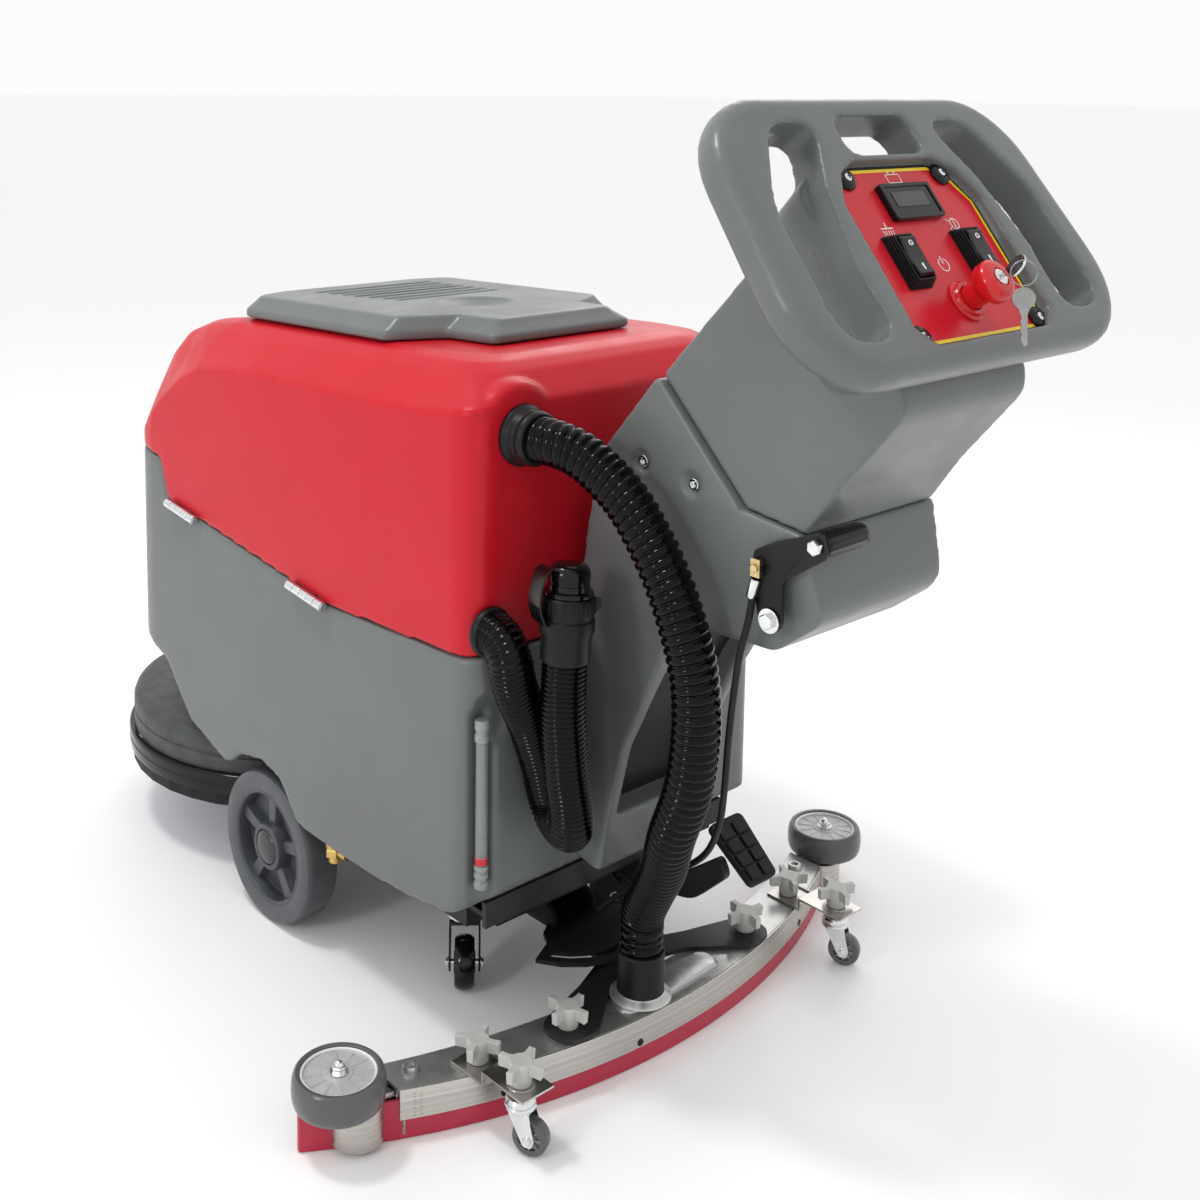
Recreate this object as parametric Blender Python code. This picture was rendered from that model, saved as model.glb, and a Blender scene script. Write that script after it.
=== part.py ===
"""Walk-behind floor scrubber: lower solution tank, tipping recovery tank, operator console with a loop
handle, disc brush deck and curved squeegee.

+X is the machine's left side, +Y its rear, where the operator stands, and +Z is up. The floor is at z = 0.
Sub-parts are laid out from a datum on the floor below the drive axle, and the whole machine hangs from one
empty that moves that datum so that the origin is the middle of the machine's footprint.
"""
from math import cos, pi, radians, sin, sqrt

import bmesh
import bpy
from mathutils import Matrix, Vector

# ---------------------------------------------------------------- driving dimensions, in metres
GAP = 0.0003                 # air left between touching sub-parts
FOOTPRINT_SHIFT = -0.182335    # from the drive axle datum to the middle of the footprint

WHEEL_RADIUS = 0.0964
WHEEL_WIDTH = 0.045
WHEEL_FACE_X = 0.2226
AXLE_RADIUS = 0.0095

BODY_HALF_WIDTH = 0.228
BODY_FRONT = -0.345
BODY_REAR = 0.408
BODY_FRONT_CORNER = 0.073
BODY_REAR_CORNER = 0.030
SPLIT_LINE = ((-0.345, 0.5122), (0.151, 0.4525), (0.408, 0.4630))    # y, z of the split between the tanks
SPLIT_STEP = (-0.237, 0.049)     # in front of this y the split line steps up by this much
SEAT_Z = 0.7535              # height of the recovery tank's top over the drive axle
SEAT_SLOPE = 0.030

CHASSIS_TOP = 0.1515
CHASSIS_PLATE = 0.006

DECK_Y = -0.272
DECK_RADIUS = 0.2395
DECK_TOP = 0.185
BRUSH_BOTTOM = 0.082
DECK_PIVOT = (0.020, 0.200)      # y, z of the lift arms' pivot on the chassis
DECK_HANGER = (-0.195, 0.215)    # y, z of the lift arms' pivot on the deck

CASTER = (0.103, 0.250, 0.0745)  # swivel axis and underside of its top plate
CASTER_WHEEL_RADIUS = 0.0310
CASTER_TRAIL = 0.030
CASTER_TURN = {"left": radians(40), "right": radians(-52)}

FOOT_HALF_WIDTH = 0.078
COLUMN_HALF_WIDTH = 0.094
NECK_HALF_WIDTH = 0.107
PANEL_ORIGIN = Vector((0.0, 0.7329, 0.9702))
PANEL_TILT = radians(37.7)       # slope of the control panel's normal above level
LOOP_THICKNESS = 0.040

LEVER_PIVOT = (0.700, 0.564)     # y, z
LEVER_GRIP = (0.7505, 0.646)
LEVER_CLEVIS = (0.686, 0.612)

LIFT_PIVOT = (0.255, 0.118)      # y, z of the squeegee's lift hinge
SWING_Y = 0.320                  # y of the squeegee's vertical pivot
SLOT_RADIUS = 0.090
PEDAL_PIVOT = (0.275, 0.125)     # y, z

SQUEEGEE_RADIUS = 0.780          # rear face of the rear blade
SQUEEGEE_MIDDLE = 0.5116
SQUEEGEE_TOP = 0.0553
SQUEEGEE_HALF_LENGTH = 0.338
BLADE_HALF_LENGTH = 0.424
BUMPER = (0.3885, 0.401)
BUMPER_RADIUS = 0.0475
SMALL_CASTER = (0.254, 0.521)
SMALL_WHEEL_RADIUS = 0.019
SMALL_TRAIL = 0.012
SMALL_TURN = radians(25)
CUFF = (0.042, 0.480)
CUFF_TOP = 0.112
CUFF_RADIUS = 0.026

SUCTION_HOSE_RADIUS = 0.0245
SUCTION_ROUTE = (
    (0.160, 0.4366, 0.692), (0.160, 0.462, 0.692), (0.154, 0.486, 0.686), (0.149, 0.513, 0.672),
    (0.145, 0.545, 0.649), (0.1425, 0.574, 0.616), (0.140, 0.597, 0.580), (0.137, 0.613, 0.543),
    (0.133, 0.623, 0.507), (0.130, 0.628, 0.467), (0.126, 0.624, 0.419), (0.122, 0.612, 0.366),
    (0.113, 0.585, 0.308), (0.084, 0.549, 0.250), (0.059, 0.509, 0.196), (0.044, 0.4835, 0.158),
    (0.042, 0.480, 0.135), (0.042, 0.480, 0.1130),
)
DRAIN_HOSE_RADIUS = 0.0235
DRAIN_ROUTE = (
    (0.2030, 0.4096, 0.4910), (0.2030, 0.4126, 0.4910), (0.2030, 0.4258, 0.4874), (0.2026, 0.4350, 0.4777),
    (0.2010, 0.4385, 0.4645), (0.1915, 0.4375, 0.4330), (0.1705, 0.4360, 0.3910), (0.1530, 0.4350, 0.3460),
    (0.1430, 0.4345, 0.3120), (0.1400, 0.4370, 0.2960), (0.1405, 0.4460, 0.2850), (0.1440, 0.4610, 0.2810),
    (0.1500, 0.4760, 0.2850), (0.1560, 0.4850, 0.2960), (0.1600, 0.4880, 0.3150), (0.1680, 0.4885, 0.3600),
    (0.1725, 0.4880, 0.4100), (0.1715, 0.4865, 0.4450), (0.1695, 0.4860, 0.4747),
)
LIFT_CABLE_RADIUS = 0.0035
LIFT_CABLE_ROUTE = (
    (0.1165, 0.684, 0.597), (0.1165, 0.678, 0.560), (0.115, 0.667, 0.520), (0.111, 0.657, 0.470),
    (0.103, 0.646, 0.420), (0.092, 0.634, 0.370), (0.076, 0.615, 0.320), (0.054, 0.580, 0.268),
    (0.030, 0.526, 0.220), (0.018, 0.470, 0.180), (0.015, 0.420, 0.140), (0.015, 0.385, 0.105),
)

PANEL_NORMAL = Vector((0.0, cos(PANEL_TILT), sin(PANEL_TILT)))
PANEL_DOWN = Vector((0.0, sin(PANEL_TILT), -cos(PANEL_TILT)))
ESTOP = (0.0, 0.135)             # across and down the panel
SQUEEGEE_CENTRE_Y = SQUEEGEE_MIDDLE - SQUEEGEE_RADIUS


# ---------------------------------------------------------------- heights along the body
def along(points, y):
    """Straight-line interpolation through (y, z) points listed from front to rear."""
    if y <= points[0][0]:
        return points[0][1]
    for (y0, z0), (y1, z1) in zip(points, points[1:]):
        if y <= y1:
            return z0 + (z1 - z0) * (y - y0) / (y1 - y0)
    return points[-1][1]


def split_height(y):
    """Height of the split between the two tanks, with its step at the front."""
    step_y, rise = SPLIT_STEP
    return along(SPLIT_LINE, y) + (rise if y < step_y else 0.0)


def fender_height(y):
    """Height of the fold where the recovery tank's flat side turns inwards."""
    return along(((-0.345, 0.575), (-0.299, 0.580), (-0.243, 0.632), (-0.190, 0.668), (-0.138, 0.689),
                  (-0.015, 0.702), (0.156, 0.705), (0.340, 0.712), (0.408, 0.726)), y)


def crown_height(y):
    """Height of the recovery tank's top edge."""
    return along(((-0.330, 0.676), (-0.318, 0.690), (-0.262, 0.718), (-0.186, 0.740), (-0.120, 0.749),
                  (0.400, SEAT_Z + SEAT_SLOPE * 0.400)), y)


def shoulder_height(y, share):
    """Height at a share of the way up the slope from the fender fold to the crown."""
    return fender_height(y) + share * (crown_height(y) - fender_height(y))


def squeegee_rear_y(x, inset=0.0):
    """Rear edge of the squeegee at x, or a line that lies inset in front of it."""
    return SQUEEGEE_CENTRE_Y + sqrt((SQUEEGEE_RADIUS - inset) ** 2 - x * x)


# ---------------------------------------------------------------- shapes
def fillet(corners, steps=3):
    """Outline through (a, b, radius) corners, each turned into an arc of its radius."""
    outline = []
    count = len(corners)
    for i, (a, b, radius) in enumerate(corners):
        here = Vector((a, b))
        if radius == 0.0:
            outline.append(tuple(here))
            continue
        before = (Vector(corners[i - 1][:2]) - here).normalized()
        after = (Vector(corners[(i + 1) % count][:2]) - here).normalized()
        half = before.angle(after) / 2
        reach = radius / sin(half)
        centre = here + (before + after).normalized() * reach
        start = here + before * (radius / (sin(half) / cos(half))) - centre
        end = here + after * (radius / (sin(half) / cos(half))) - centre
        turn = start.angle_signed(end)
        for k in range(steps + 1):
            step = Matrix.Rotation(-turn * k / steps, 2) @ start
            outline.append(tuple(centre + step))
    return outline


def mirrored(half):
    """Closed outline from its half at positive x, listed from one end of the mid line to the other."""
    return list(half) + [(-x, y) for x, y in reversed(half) if abs(x) > 1e-6]


def close_up(bm):
    bmesh.ops.remove_doubles(bm, verts=bm.verts, dist=1e-6)
    bmesh.ops.recalc_face_normals(bm, faces=bm.faces)
    return bm


def cap(bm, row, crosswise):
    """One face over a ring, or for a mirrored ring strips that run straight across it."""
    if not crosswise:
        bm.faces.new(row)
        return
    count = len(row)
    for k in range(count // 2 - 1):
        bm.faces.new((row[k], row[k + 1], row[count - k - 2], row[count - k - 1]))


def loft(rings, crosswise=False):
    """Solid through rings of equal length, capped at both ends."""
    bm = bmesh.new()
    rows = [[bm.verts.new(p) for p in ring] for ring in rings]
    for low, high in zip(rows, rows[1:]):
        for i in range(len(low)):
            j = (i + 1) % len(low)
            bm.faces.new((low[i], low[j], high[j], high[i]))
    cap(bm, rows[0], crosswise)
    cap(bm, rows[-1], crosswise)
    return close_up(bm)


def prism(outline, low, high, axis="z"):
    """Outline pushed from low to high along an axis. Its two numbers are the other two axes, in order."""
    place = {"x": lambda a, b, h: (h, a, b), "y": lambda a, b, h: (a, h, b), "z": lambda a, b, h: (a, b, h)}
    return loft([[place[axis](a, b, h) for a, b in outline] for h in (low, high)])


def block(x0, x1, y0, y1, z0, z1):
    return prism(((x0, y0), (x1, y0), (x1, y1), (x0, y1)), z0, z1)


def turned(profile, centre=(0, 0, 0), axis=(0, 0, 1), sides=24):
    """Round solid from a closed profile of (radius, height) points about an axis."""
    bm = bmesh.new()
    rows = []
    for radius, height in profile:
        if radius < 1e-6:
            rows.append([bm.verts.new((0, 0, height))])
        else:
            angles = [2 * pi * k / sides for k in range(sides)]
            rows.append([bm.verts.new((radius * cos(a), radius * sin(a), height)) for a in angles])
    for low, high in zip(rows, rows[1:] + rows[:1]):
        if len(low) == 1 and len(high) == 1:
            continue
        for i in range(sides):
            j = (i + 1) % sides
            ring = [low[i % len(low)], low[j % len(low)], high[j % len(high)], high[i % len(high)]]
            bm.faces.new(list(dict.fromkeys(ring)))
    turn = Vector((0, 0, 1)).rotation_difference(Vector(axis)).to_matrix().to_4x4()
    bmesh.ops.transform(bm, matrix=Matrix.Translation(centre) @ turn, verts=bm.verts)
    return close_up(bm)


def cylinder(radius, start, end, sides=16):
    start, end = Vector(start), Vector(end)
    return turned(((0, 0), (radius, 0), (radius, (end - start).length), (0, (end - start).length)),
                  start, end - start, sides)


def on_panel(u, v, w):
    """Point u across, v down and w above the control panel."""
    return PANEL_ORIGIN + Vector((u, 0, 0)) + PANEL_DOWN * v + PANEL_NORMAL * w


def panel_prism(outline, low, high):
    return loft([[on_panel(u, v, w) for u, v in outline] for w in (low, high)])


def smooth_route(points, spacing):
    """Points a given distance apart on a smooth curve through a route."""
    route = [Vector(p) for p in points]
    route = [2 * route[0] - route[1]] + route + [2 * route[-1] - route[-2]]
    dense = []
    for a, b, c, d in zip(route, route[1:], route[2:], route[3:]):
        for k in range(20):
            t = k / 20
            dense.append(0.5 * (2 * b + (c - a) * t + (2 * a - 5 * b + 4 * c - d) * t * t
                                + (3 * b - a - 3 * c + d) * t ** 3))
    dense.append(route[-2])
    length = sum((b - a).length for a, b in zip(dense, dense[1:]))
    count = max(2, round(length / spacing))
    picked = [dense[0]]
    walked = 0.0
    for a, b in zip(dense, dense[1:]):
        step = (b - a).length
        while walked + step >= length * len(picked) / count - 1e-9 and len(picked) < count:
            picked.append(a.lerp(b, (length * len(picked) / count - walked) / step))
        walked += step
    return picked + [dense[-1]]


# ---------------------------------------------------------------- materials and objects
def material(name, colour, roughness, metallic=0.0):
    made = bpy.data.materials.new(name)
    made.use_nodes = True
    shader = made.node_tree.nodes["Principled BSDF"]
    shader.inputs["Base Color"].default_value = (*colour, 1.0)
    shader.inputs["Roughness"].default_value = roughness
    shader.inputs["Metallic"].default_value = metallic
    return made


def body_from(name, bm, finish, pivot=(0, 0, 0)):
    """Named object with its origin at a pivot, from a mesh laid out from the drive axle datum."""
    bmesh.ops.translate(bm, vec=-Vector(pivot), verts=bm.verts)
    mesh = bpy.data.meshes.new(name)
    bm.to_mesh(mesh)
    bm.free()
    mesh.shade_smooth()
    mesh.set_sharp_from_angle(angle=radians(35))
    mesh.materials.append(finish)
    made = bpy.data.objects.new(name, mesh)
    made.location = pivot
    made.parent = MACHINE
    bpy.context.collection.objects.link(made)
    return made


def combine(target, bm, operation):
    """Union or difference of a target and another solid, kept as a modifier with a hidden guide."""
    guide = body_from(f"{target.name}_guide_{len(target.modifiers)}", bm, target.data.materials[0])
    guide.hide_render = True
    guide.display_type = "WIRE"
    modifier = target.modifiers.new(operation.lower(), "BOOLEAN")
    modifier.operation = operation
    modifier.object = guide


def add(target, *solids):
    for solid in solids:
        combine(target, solid, "UNION")


def cut(target, *solids):
    for solid in solids:
        combine(target, solid, "DIFFERENCE")


def soften(target, width, segments=2):
    """Rounded edges wherever two faces meet at more than 40 degrees."""
    modifier = target.modifiers.new("edges", "BEVEL")
    modifier.width = width
    modifier.segments = segments
    modifier.limit_method = "ANGLE"
    modifier.angle_limit = radians(40)


def hose(name, route, radius, finish, spacing):
    data = bpy.data.curves.new(name, "CURVE")
    data.dimensions = "3D"
    data.bevel_depth = radius
    data.bevel_resolution = 2
    data.use_fill_caps = True
    data.materials.append(finish)
    points = smooth_route(route, spacing)
    spline = data.splines.new("POLY")
    spline.points.add(len(points) - 1)
    for point, place in zip(spline.points, points):
        point.co = (*place, 1.0)
    made = bpy.data.objects.new(name, data)
    made.parent = MACHINE
    bpy.context.collection.objects.link(made)


# ---------------------------------------------------------------- tanks and chassis
def plan_outline(half_width, front, rear, front_corner, rear_corner, steps=6):
    return fillet(((half_width, rear, rear_corner), (half_width, front, front_corner),
                   (-half_width, front, front_corner), (-half_width, rear, rear_corner)), steps)


def make_solution_tank():
    """Grey lower tank: the side profile cut to the plan outline, open on top round the batteries."""
    front, rear = BODY_FRONT - 0.01, BODY_REAR + 0.01
    top = [(y, split_height(y)) for y in (rear, SPLIT_LINE[1][0], -0.2270, -0.2470, front)]
    bottom = [(front, 0.292), (-0.312, 0.292), (-0.240, 0.272), (-0.205, 0.235), (-0.177, 0.206),
              (-0.092, 0.180), (-0.079, 0.182), (-0.050, 0.203), (0.000, 0.212), (0.040, 0.203),
              (0.079, 0.160), (0.172, 0.156), (0.288, 0.161), (0.372, 0.173), (0.400, 0.190), (rear, 0.206)]
    tank = body_from("solution_tank", prism(top + bottom, -0.24, 0.24, "x"), GREY)
    plan = plan_outline(BODY_HALF_WIDTH, BODY_FRONT, BODY_REAR, BODY_FRONT_CORNER, BODY_REAR_CORNER)
    combine(tank, prism(plan, 0.10, 0.70), "INTERSECT")
    battery_bay = block(-0.190, 0.190, 0.005, 0.372, 0.235, 0.60)
    motor_bay = block(-0.110, 0.110, -0.225, -0.030, 0.350, 0.60)
    deck_room = cylinder(0.2440, (0, DECK_Y, 0.10), (0, DECK_Y, 0.196), 32)
    motor_room = cylinder(0.080, (0, DECK_Y, 0.10), (0, DECK_Y, 0.325), 24)
    arm_room = block(-0.085, 0.085, -0.300, 0.060, 0.10, 0.2320)
    sight_channel = block(0.1955, 0.2215, 0.3930, 0.45, 0.10, 0.4060)
    cut(tank, battery_bay, motor_bay, deck_room, motor_room, arm_room, sight_channel)


def tank_ring(half_width, front, rear, front_corner, rear_corner, height):
    """Ring round the recovery tank, always with the same points, at a height that follows y."""
    side = (0.378, 0.300, 0.225, 0.151, 0.070, -0.020, -0.090, -0.150, -0.195, -0.2270, -0.2470, -0.272)
    reach_rear, reach_front = rear - rear_corner, front + front_corner
    half = []
    for k in range(5):
        a = pi / 2 * (1 - k / 4)
        half.append((half_width - rear_corner + rear_corner * cos(a), reach_rear + rear_corner * sin(a)))
    for y in side[1:-1]:
        share = (y - side[-1]) / (side[0] - side[-1])
        half.append((half_width, reach_front + share * (reach_rear - reach_front)))
    for k in range(7):
        a = -pi / 2 * k / 6
        x = half_width - front_corner + front_corner * cos(a)
        half.append((x, reach_front + front_corner * sin(a)))
    return [(x, y, height(y)) for x, y in mirrored(half)]


def make_recovery_tank():
    """Red upper tank, open under its lid, which tips over to the left on its two hinges."""
    full = (BODY_HALF_WIDTH, BODY_FRONT, BODY_REAR - 0.002, BODY_FRONT_CORNER, BODY_REAR_CORNER)
    rings = [
        tank_ring(*full, lambda y: split_height(y) + 0.0010),
        tank_ring(*full, fender_height),
        tank_ring(0.214, -0.337, 0.396, 0.072, 0.034, lambda y: shoulder_height(y, 0.30)),
        tank_ring(0.193, -0.320, 0.379, 0.070, 0.045, lambda y: shoulder_height(y, 0.74)),
        tank_ring(0.180, -0.300, 0.364, 0.070, 0.050, lambda y: shoulder_height(y, 0.94)),
        tank_ring(0.165, -0.262, 0.348, 0.070, 0.060, lambda y: crown_height(y) + 0.0015),
        tank_ring(0.100, -0.130, 0.290, 0.040, 0.040, lambda y: SEAT_Z + 0.0015 + SEAT_SLOPE * y),
    ]
    tank = body_from("recovery_tank", loft(rings, crosswise=True), RED, HINGE_LINE)
    cut(tank, block(-0.212, 0.212, -0.212, 0.388, 0.510, 0.615),
        block(-0.200, 0.200, -0.170, 0.385, 0.60, 0.690),
        block(-0.165, 0.165, -0.125, 0.330, 0.68, 0.7430),
        block(-0.125, 0.125, -0.090, 0.185, 0.70, 0.82))


def lid_outline():
    half = fillet(((0.0, -0.150, 0), (0.128, -0.150, 0.02), (0.176, -0.112, 0.02), (0.176, 0.186, 0.012),
                   (0.112, 0.222, 0.012), (0.107, 0.300, 0.008), (0.0, 0.300, 0)))
    return mirrored(half)


def make_lid():
    """Grey lid with sloping edges on the recovery tank, with a finger pit in its top."""
    def ring(inset, rise):
        return [(x * (1 - inset), 0.075 + (y - 0.075) * (1 - inset), SEAT_Z + 0.0045 + SEAT_SLOPE * y + rise)
                for x, y in lid_outline()]
    rings = [ring(0.0, 0.0), ring(0.0, 0.008), ring(0.10, 0.024), ring(0.12, 0.025)]
    lid = body_from("lid", loft(rings), GREY, (0.0, 0.300, 0.7695))
    cut(lid, block(-0.120, 0.120, -0.085, 0.180, 0.70, 0.7690))
    cut(lid, *(block(-0.095, 0.075, -0.090 + 0.032 * k, -0.078 + 0.032 * k, 0.7775 + 0.00096 * k, 0.82)
               for k in range(6)))


def make_chassis():
    plate_low = CHASSIS_TOP - CHASSIS_PLATE
    inside_plate = plate_low + 0.002
    plate = block(-0.172, 0.172, -0.020, 0.388, plate_low, CHASSIS_TOP)
    chassis = body_from("chassis_frame", plate, BLACK_STEEL)
    pieces = [block(-0.190, 0.190, 0.384, 0.390, 0.1500, 0.1790)]
    for side in (-1, 1):
        near, far = sorted((side * 0.068, side * 0.138))
        pieces.append(block(near, far, 0.205, 0.295, CASTER[2] + 0.0160, inside_plate))
        near, far = sorted((side * 0.146, side * 0.154))
        pieces.append(block(near, far, -0.018, 0.040, 0.072, inside_plate))
        axle = ((side * 0.150, 0, WHEEL_RADIUS), (side * 0.2190, 0, WHEEL_RADIUS))
        pieces.append(cylinder(AXLE_RADIUS, *axle))
        near, far = sorted((side * 0.0665, side * 0.0725))
        pieces.append(block(near, far, 0.004, 0.036, CHASSIS_TOP - 0.002, DECK_PIVOT[1] + 0.014))
        near, far = sorted((side * 0.0395, side * 0.0435))
        pieces.append(block(near, far, LIFT_PIVOT[0] - 0.015, LIFT_PIVOT[0] + 0.015, 0.105, inside_plate))
    pedal_y = PEDAL_PIVOT[0]
    pieces.append(block(-0.067, -0.0635, pedal_y - 0.015, pedal_y + 0.015, 0.112, inside_plate))
    add(chassis, *pieces)


def make_power_pack():
    for number, side in ((1, 1), (2, -1)):
        near, far = sorted((side * 0.004, side * 0.182))
        case = block(near, far, 0.030, 0.345, 0.2354, 0.400)
        battery = body_from(f"battery_{number}", case, BLACK_PLASTIC)
        soften(battery, 0.006, 1)
        for y in (0.060, 0.315):
            add(battery, cylinder(0.009, (side * 0.093, y, 0.395), (side * 0.093, y, 0.412), 10))
    vacuum = turned(((0, 0.3504), (0.072, 0.3504), (0.072, 0.395), (0.060, 0.400), (0.060, 0.440),
                     (0, 0.446)), (0, -0.128, 0), sides=20)
    body_from("vacuum_motor", vacuum, BLACK_PLASTIC)


def make_tank_fittings():
    sight = cylinder(0.0080, (0.2085, 0.4035, 0.2100), (0.2085, 0.4035, 0.3960), 12)
    body_from("sight_tube", sight, CLEAR)
    valve = turned(((0, 0.118), (0.008, 0.118), (0.008, 0.126), (0.013, 0.130), (0.013, 0.1535),
                    (0, 0.1535)), (0.198, 0.118, 0), sides=12)
    body_from("solution_valve", valve, BRASS)
    (y0, z0), (y1, z1) = SPLIT_LINE[:2]
    along_split = Vector((0, y1 - y0, z1 - z0)).normalized()
    for name, y in (("hinge_front", -0.180), ("hinge_rear", 0.113)):
        middle = Vector((HINGE_LINE[0], y, split_height(y) + 0.0005))
        ends = (middle - along_split * 0.036, middle + along_split * 0.036)
        hinge = body_from(name, cylinder(0.0062, *ends, 12), CHROME, middle)
        front, rear = y - 0.034, y + 0.034
        leaf = [(front, split_height(front) - 0.008), (rear, split_height(rear) - 0.008),
                (rear, split_height(rear) - 0.001), (front, split_height(front) - 0.001)]
        add(hinge, prism(leaf, BODY_HALF_WIDTH + GAP, BODY_HALF_WIDTH + 0.0030, "x"))


# ---------------------------------------------------------------- rear column, head and controls
def make_column():
    """Rear casing with the lobe that carries the squeegee lever, narrower at its foot."""
    outline = fillet((
        (0.4103, 0.205, 0), (0.447, 0.198, 0.006), (0.459, 0.262, 0.05), (0.480, 0.350, 0.05),
        (0.517, 0.427, 0.05), (0.566, 0.520, 0.025), (0.690, 0.526, 0.020), (0.748, 0.570, 0.028),
        (0.727, 0.648, 0.008), (0.6555, 0.6570, 0), (0.5448, 0.7692, 0.006), (0.470, 0.680, 0.03),
        (0.440, 0.590, 0.03), (0.4103, 0.465, 0)), 3)
    column = body_from("column_housing", prism(outline, -0.12, 0.12, "x"), GREY)
    widths = ((FOOT_HALF_WIDTH, 0.10), (FOOT_HALF_WIDTH, 0.40), (COLUMN_HALF_WIDTH, 0.52),
              (COLUMN_HALF_WIDTH, 0.56), (NECK_HALF_WIDTH, 0.66), (NECK_HALF_WIDTH, 0.90))
    combine(column, prism(mirrored(widths), 0.30, 0.90, "y"), "INTERSECT")
    soften(column, 0.007, 2)


def loop_outline():
    half = fillet(((0.0, -0.088, 0), (0.226, -0.088, 0.088), (0.251, 0.197, 0.086), (0.0, 0.197, 0)), 8)
    return mirrored(half)


def side_slot(side):
    corners = ((0.084, -0.055, 0.014), (0.150, -0.055, 0.040), (0.200, 0.030, 0.080), (0.204, 0.162, 0.032),
               (0.131, 0.162, 0.024), (0.136, 0.090, 0.050), (0.117, 0.010, 0.040))
    return [(side * u, v) for u, v in fillet(corners, 3)]


def make_head():
    """Console, its neck down to the column and the loop handle with three hand openings, in one moulding."""
    loop = panel_prism(loop_outline(), -0.026, LOOP_THICKNESS - 0.026)
    head = body_from("handle_head", loop, GREY)
    soften(head, 0.0150, 3)
    for side in (-1, 1):
        cut(head, panel_prism(side_slot(side), -0.10, 0.06))
    middle = fillet(((0.0, -0.062, 0), (0.056, -0.062, 0.014), (0.060, -0.019, 0.014), (0.0, -0.019, 0)))
    cut(head, panel_prism(mirrored(middle), -0.10, 0.06))
    cut(head, panel_prism(panel_outline(0.0015), 0.0, 0.06))
    bowl = [[on_panel(u, v, depth) for u, v in
             plan_outline(half, top, bottom, corner, corner, 4)]
            for depth, half, top, bottom, corner in (
                (-0.104, 0.100, 0.020, 0.165, 0.02), (-0.070, 0.122, -0.004, 0.176, 0.03),
                (-0.012, 0.124, -0.014, 0.180, 0.03))]
    neck = fillet(((0.5452, 0.7698, 0.006), (0.6558, 0.6576, 0), (0.7275, 0.6486, 0), (0.760, 0.696, 0.03),
                   (0.828, 0.778, 0.03), (0.8130, 0.8260, 0), (0.7070, 0.9440, 0)), 3)
    add(head, loft(bowl), prism(neck, -0.099, 0.099, "x"))


def panel_outline(grow=0.0):
    half = ((0.0, -0.011 - grow), (0.060, -0.011 - grow), (0.086 + grow, 0.000), (0.105 + grow, 0.033),
            (0.105 + grow, 0.156), (0.086 + grow, 0.173 + grow), (0.0, 0.173 + grow))
    return mirrored(half)


def make_controls():
    panel = body_from("control_panel", panel_prism(panel_outline(), GAP, 0.0022), RED)
    collar = ((0.0128, 0.0010), (0.0165, 0.0010), (0.0165, 0.0070), (0.0150, 0.0085), (0.0128, 0.0085))
    add(panel, turned(collar, on_panel(*ESTOP, 0), PANEL_NORMAL, 20))
    frame = ((-0.038, 0.011), (0.038, 0.011), (0.038, 0.049), (-0.038, 0.049))
    window = ((-0.028, 0.018), (0.028, 0.018), (0.028, 0.038), (-0.028, 0.038))
    meter = body_from("display_meter", panel_prism(frame, 0.0025, 0.0090), BLACK_PLASTIC)
    soften(meter, 0.001, 1)
    cut(meter, panel_prism(window, 0.0075, 0.02))
    profile = ((-0.0210, 0.0085), (0.0, 0.0029), (0.0210, 0.0085), (0.0195, 0.0170), (0.0, 0.0140),
               (-0.0195, 0.0170))
    for name, side in (("left", 1), ("right", -1)):
        u, v = side * 0.0525, 0.090
        ends = [[on_panel(edge, v + down, w) for down, w in profile] for edge in (u - 0.011, u + 0.011)]
        rocker = body_from(f"rocker_switch_{name}", loft(ends), BLACK_GLOSS, on_panel(u, v, 0.0075))
        soften(rocker, 0.0010, 1)
    button = turned(((0, 0.0078), (0.0120, 0.0078), (0.0120, 0.0240), (0.0195, 0.0300), (0.0200, 0.0400),
                     (0.0185, 0.0440), (0.0075, 0.0450), (0.0075, 0.0460), (0, 0.0460)),
                    on_panel(*ESTOP, 0), PANEL_NORMAL, 16)
    body_from("estop_button", button, RED_GLOSS, on_panel(*ESTOP, 0))
    foot = on_panel(*ESTOP, 0.0464)
    across = (Vector((1, 0, 0)) + PANEL_DOWN).normalized()

    def key_ring(offset):
        shape = ((-0.0035, 0.000), (0.0035, 0.000), (0.0035, 0.006), (0.0090, 0.009), (0.0120, 0.015),
                 (0.0105, 0.022), (0.0050, 0.027), (-0.0050, 0.027), (-0.0105, 0.022), (-0.0120, 0.015),
                 (-0.0090, 0.009), (-0.0035, 0.006))
        side = PANEL_NORMAL.cross(across)
        return [foot + across * a + PANEL_NORMAL * w + side * offset for a, w in shape]
    body_from("key", loft([key_ring(-0.0011), key_ring(0.0011)]), CHROME, foot)


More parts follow.
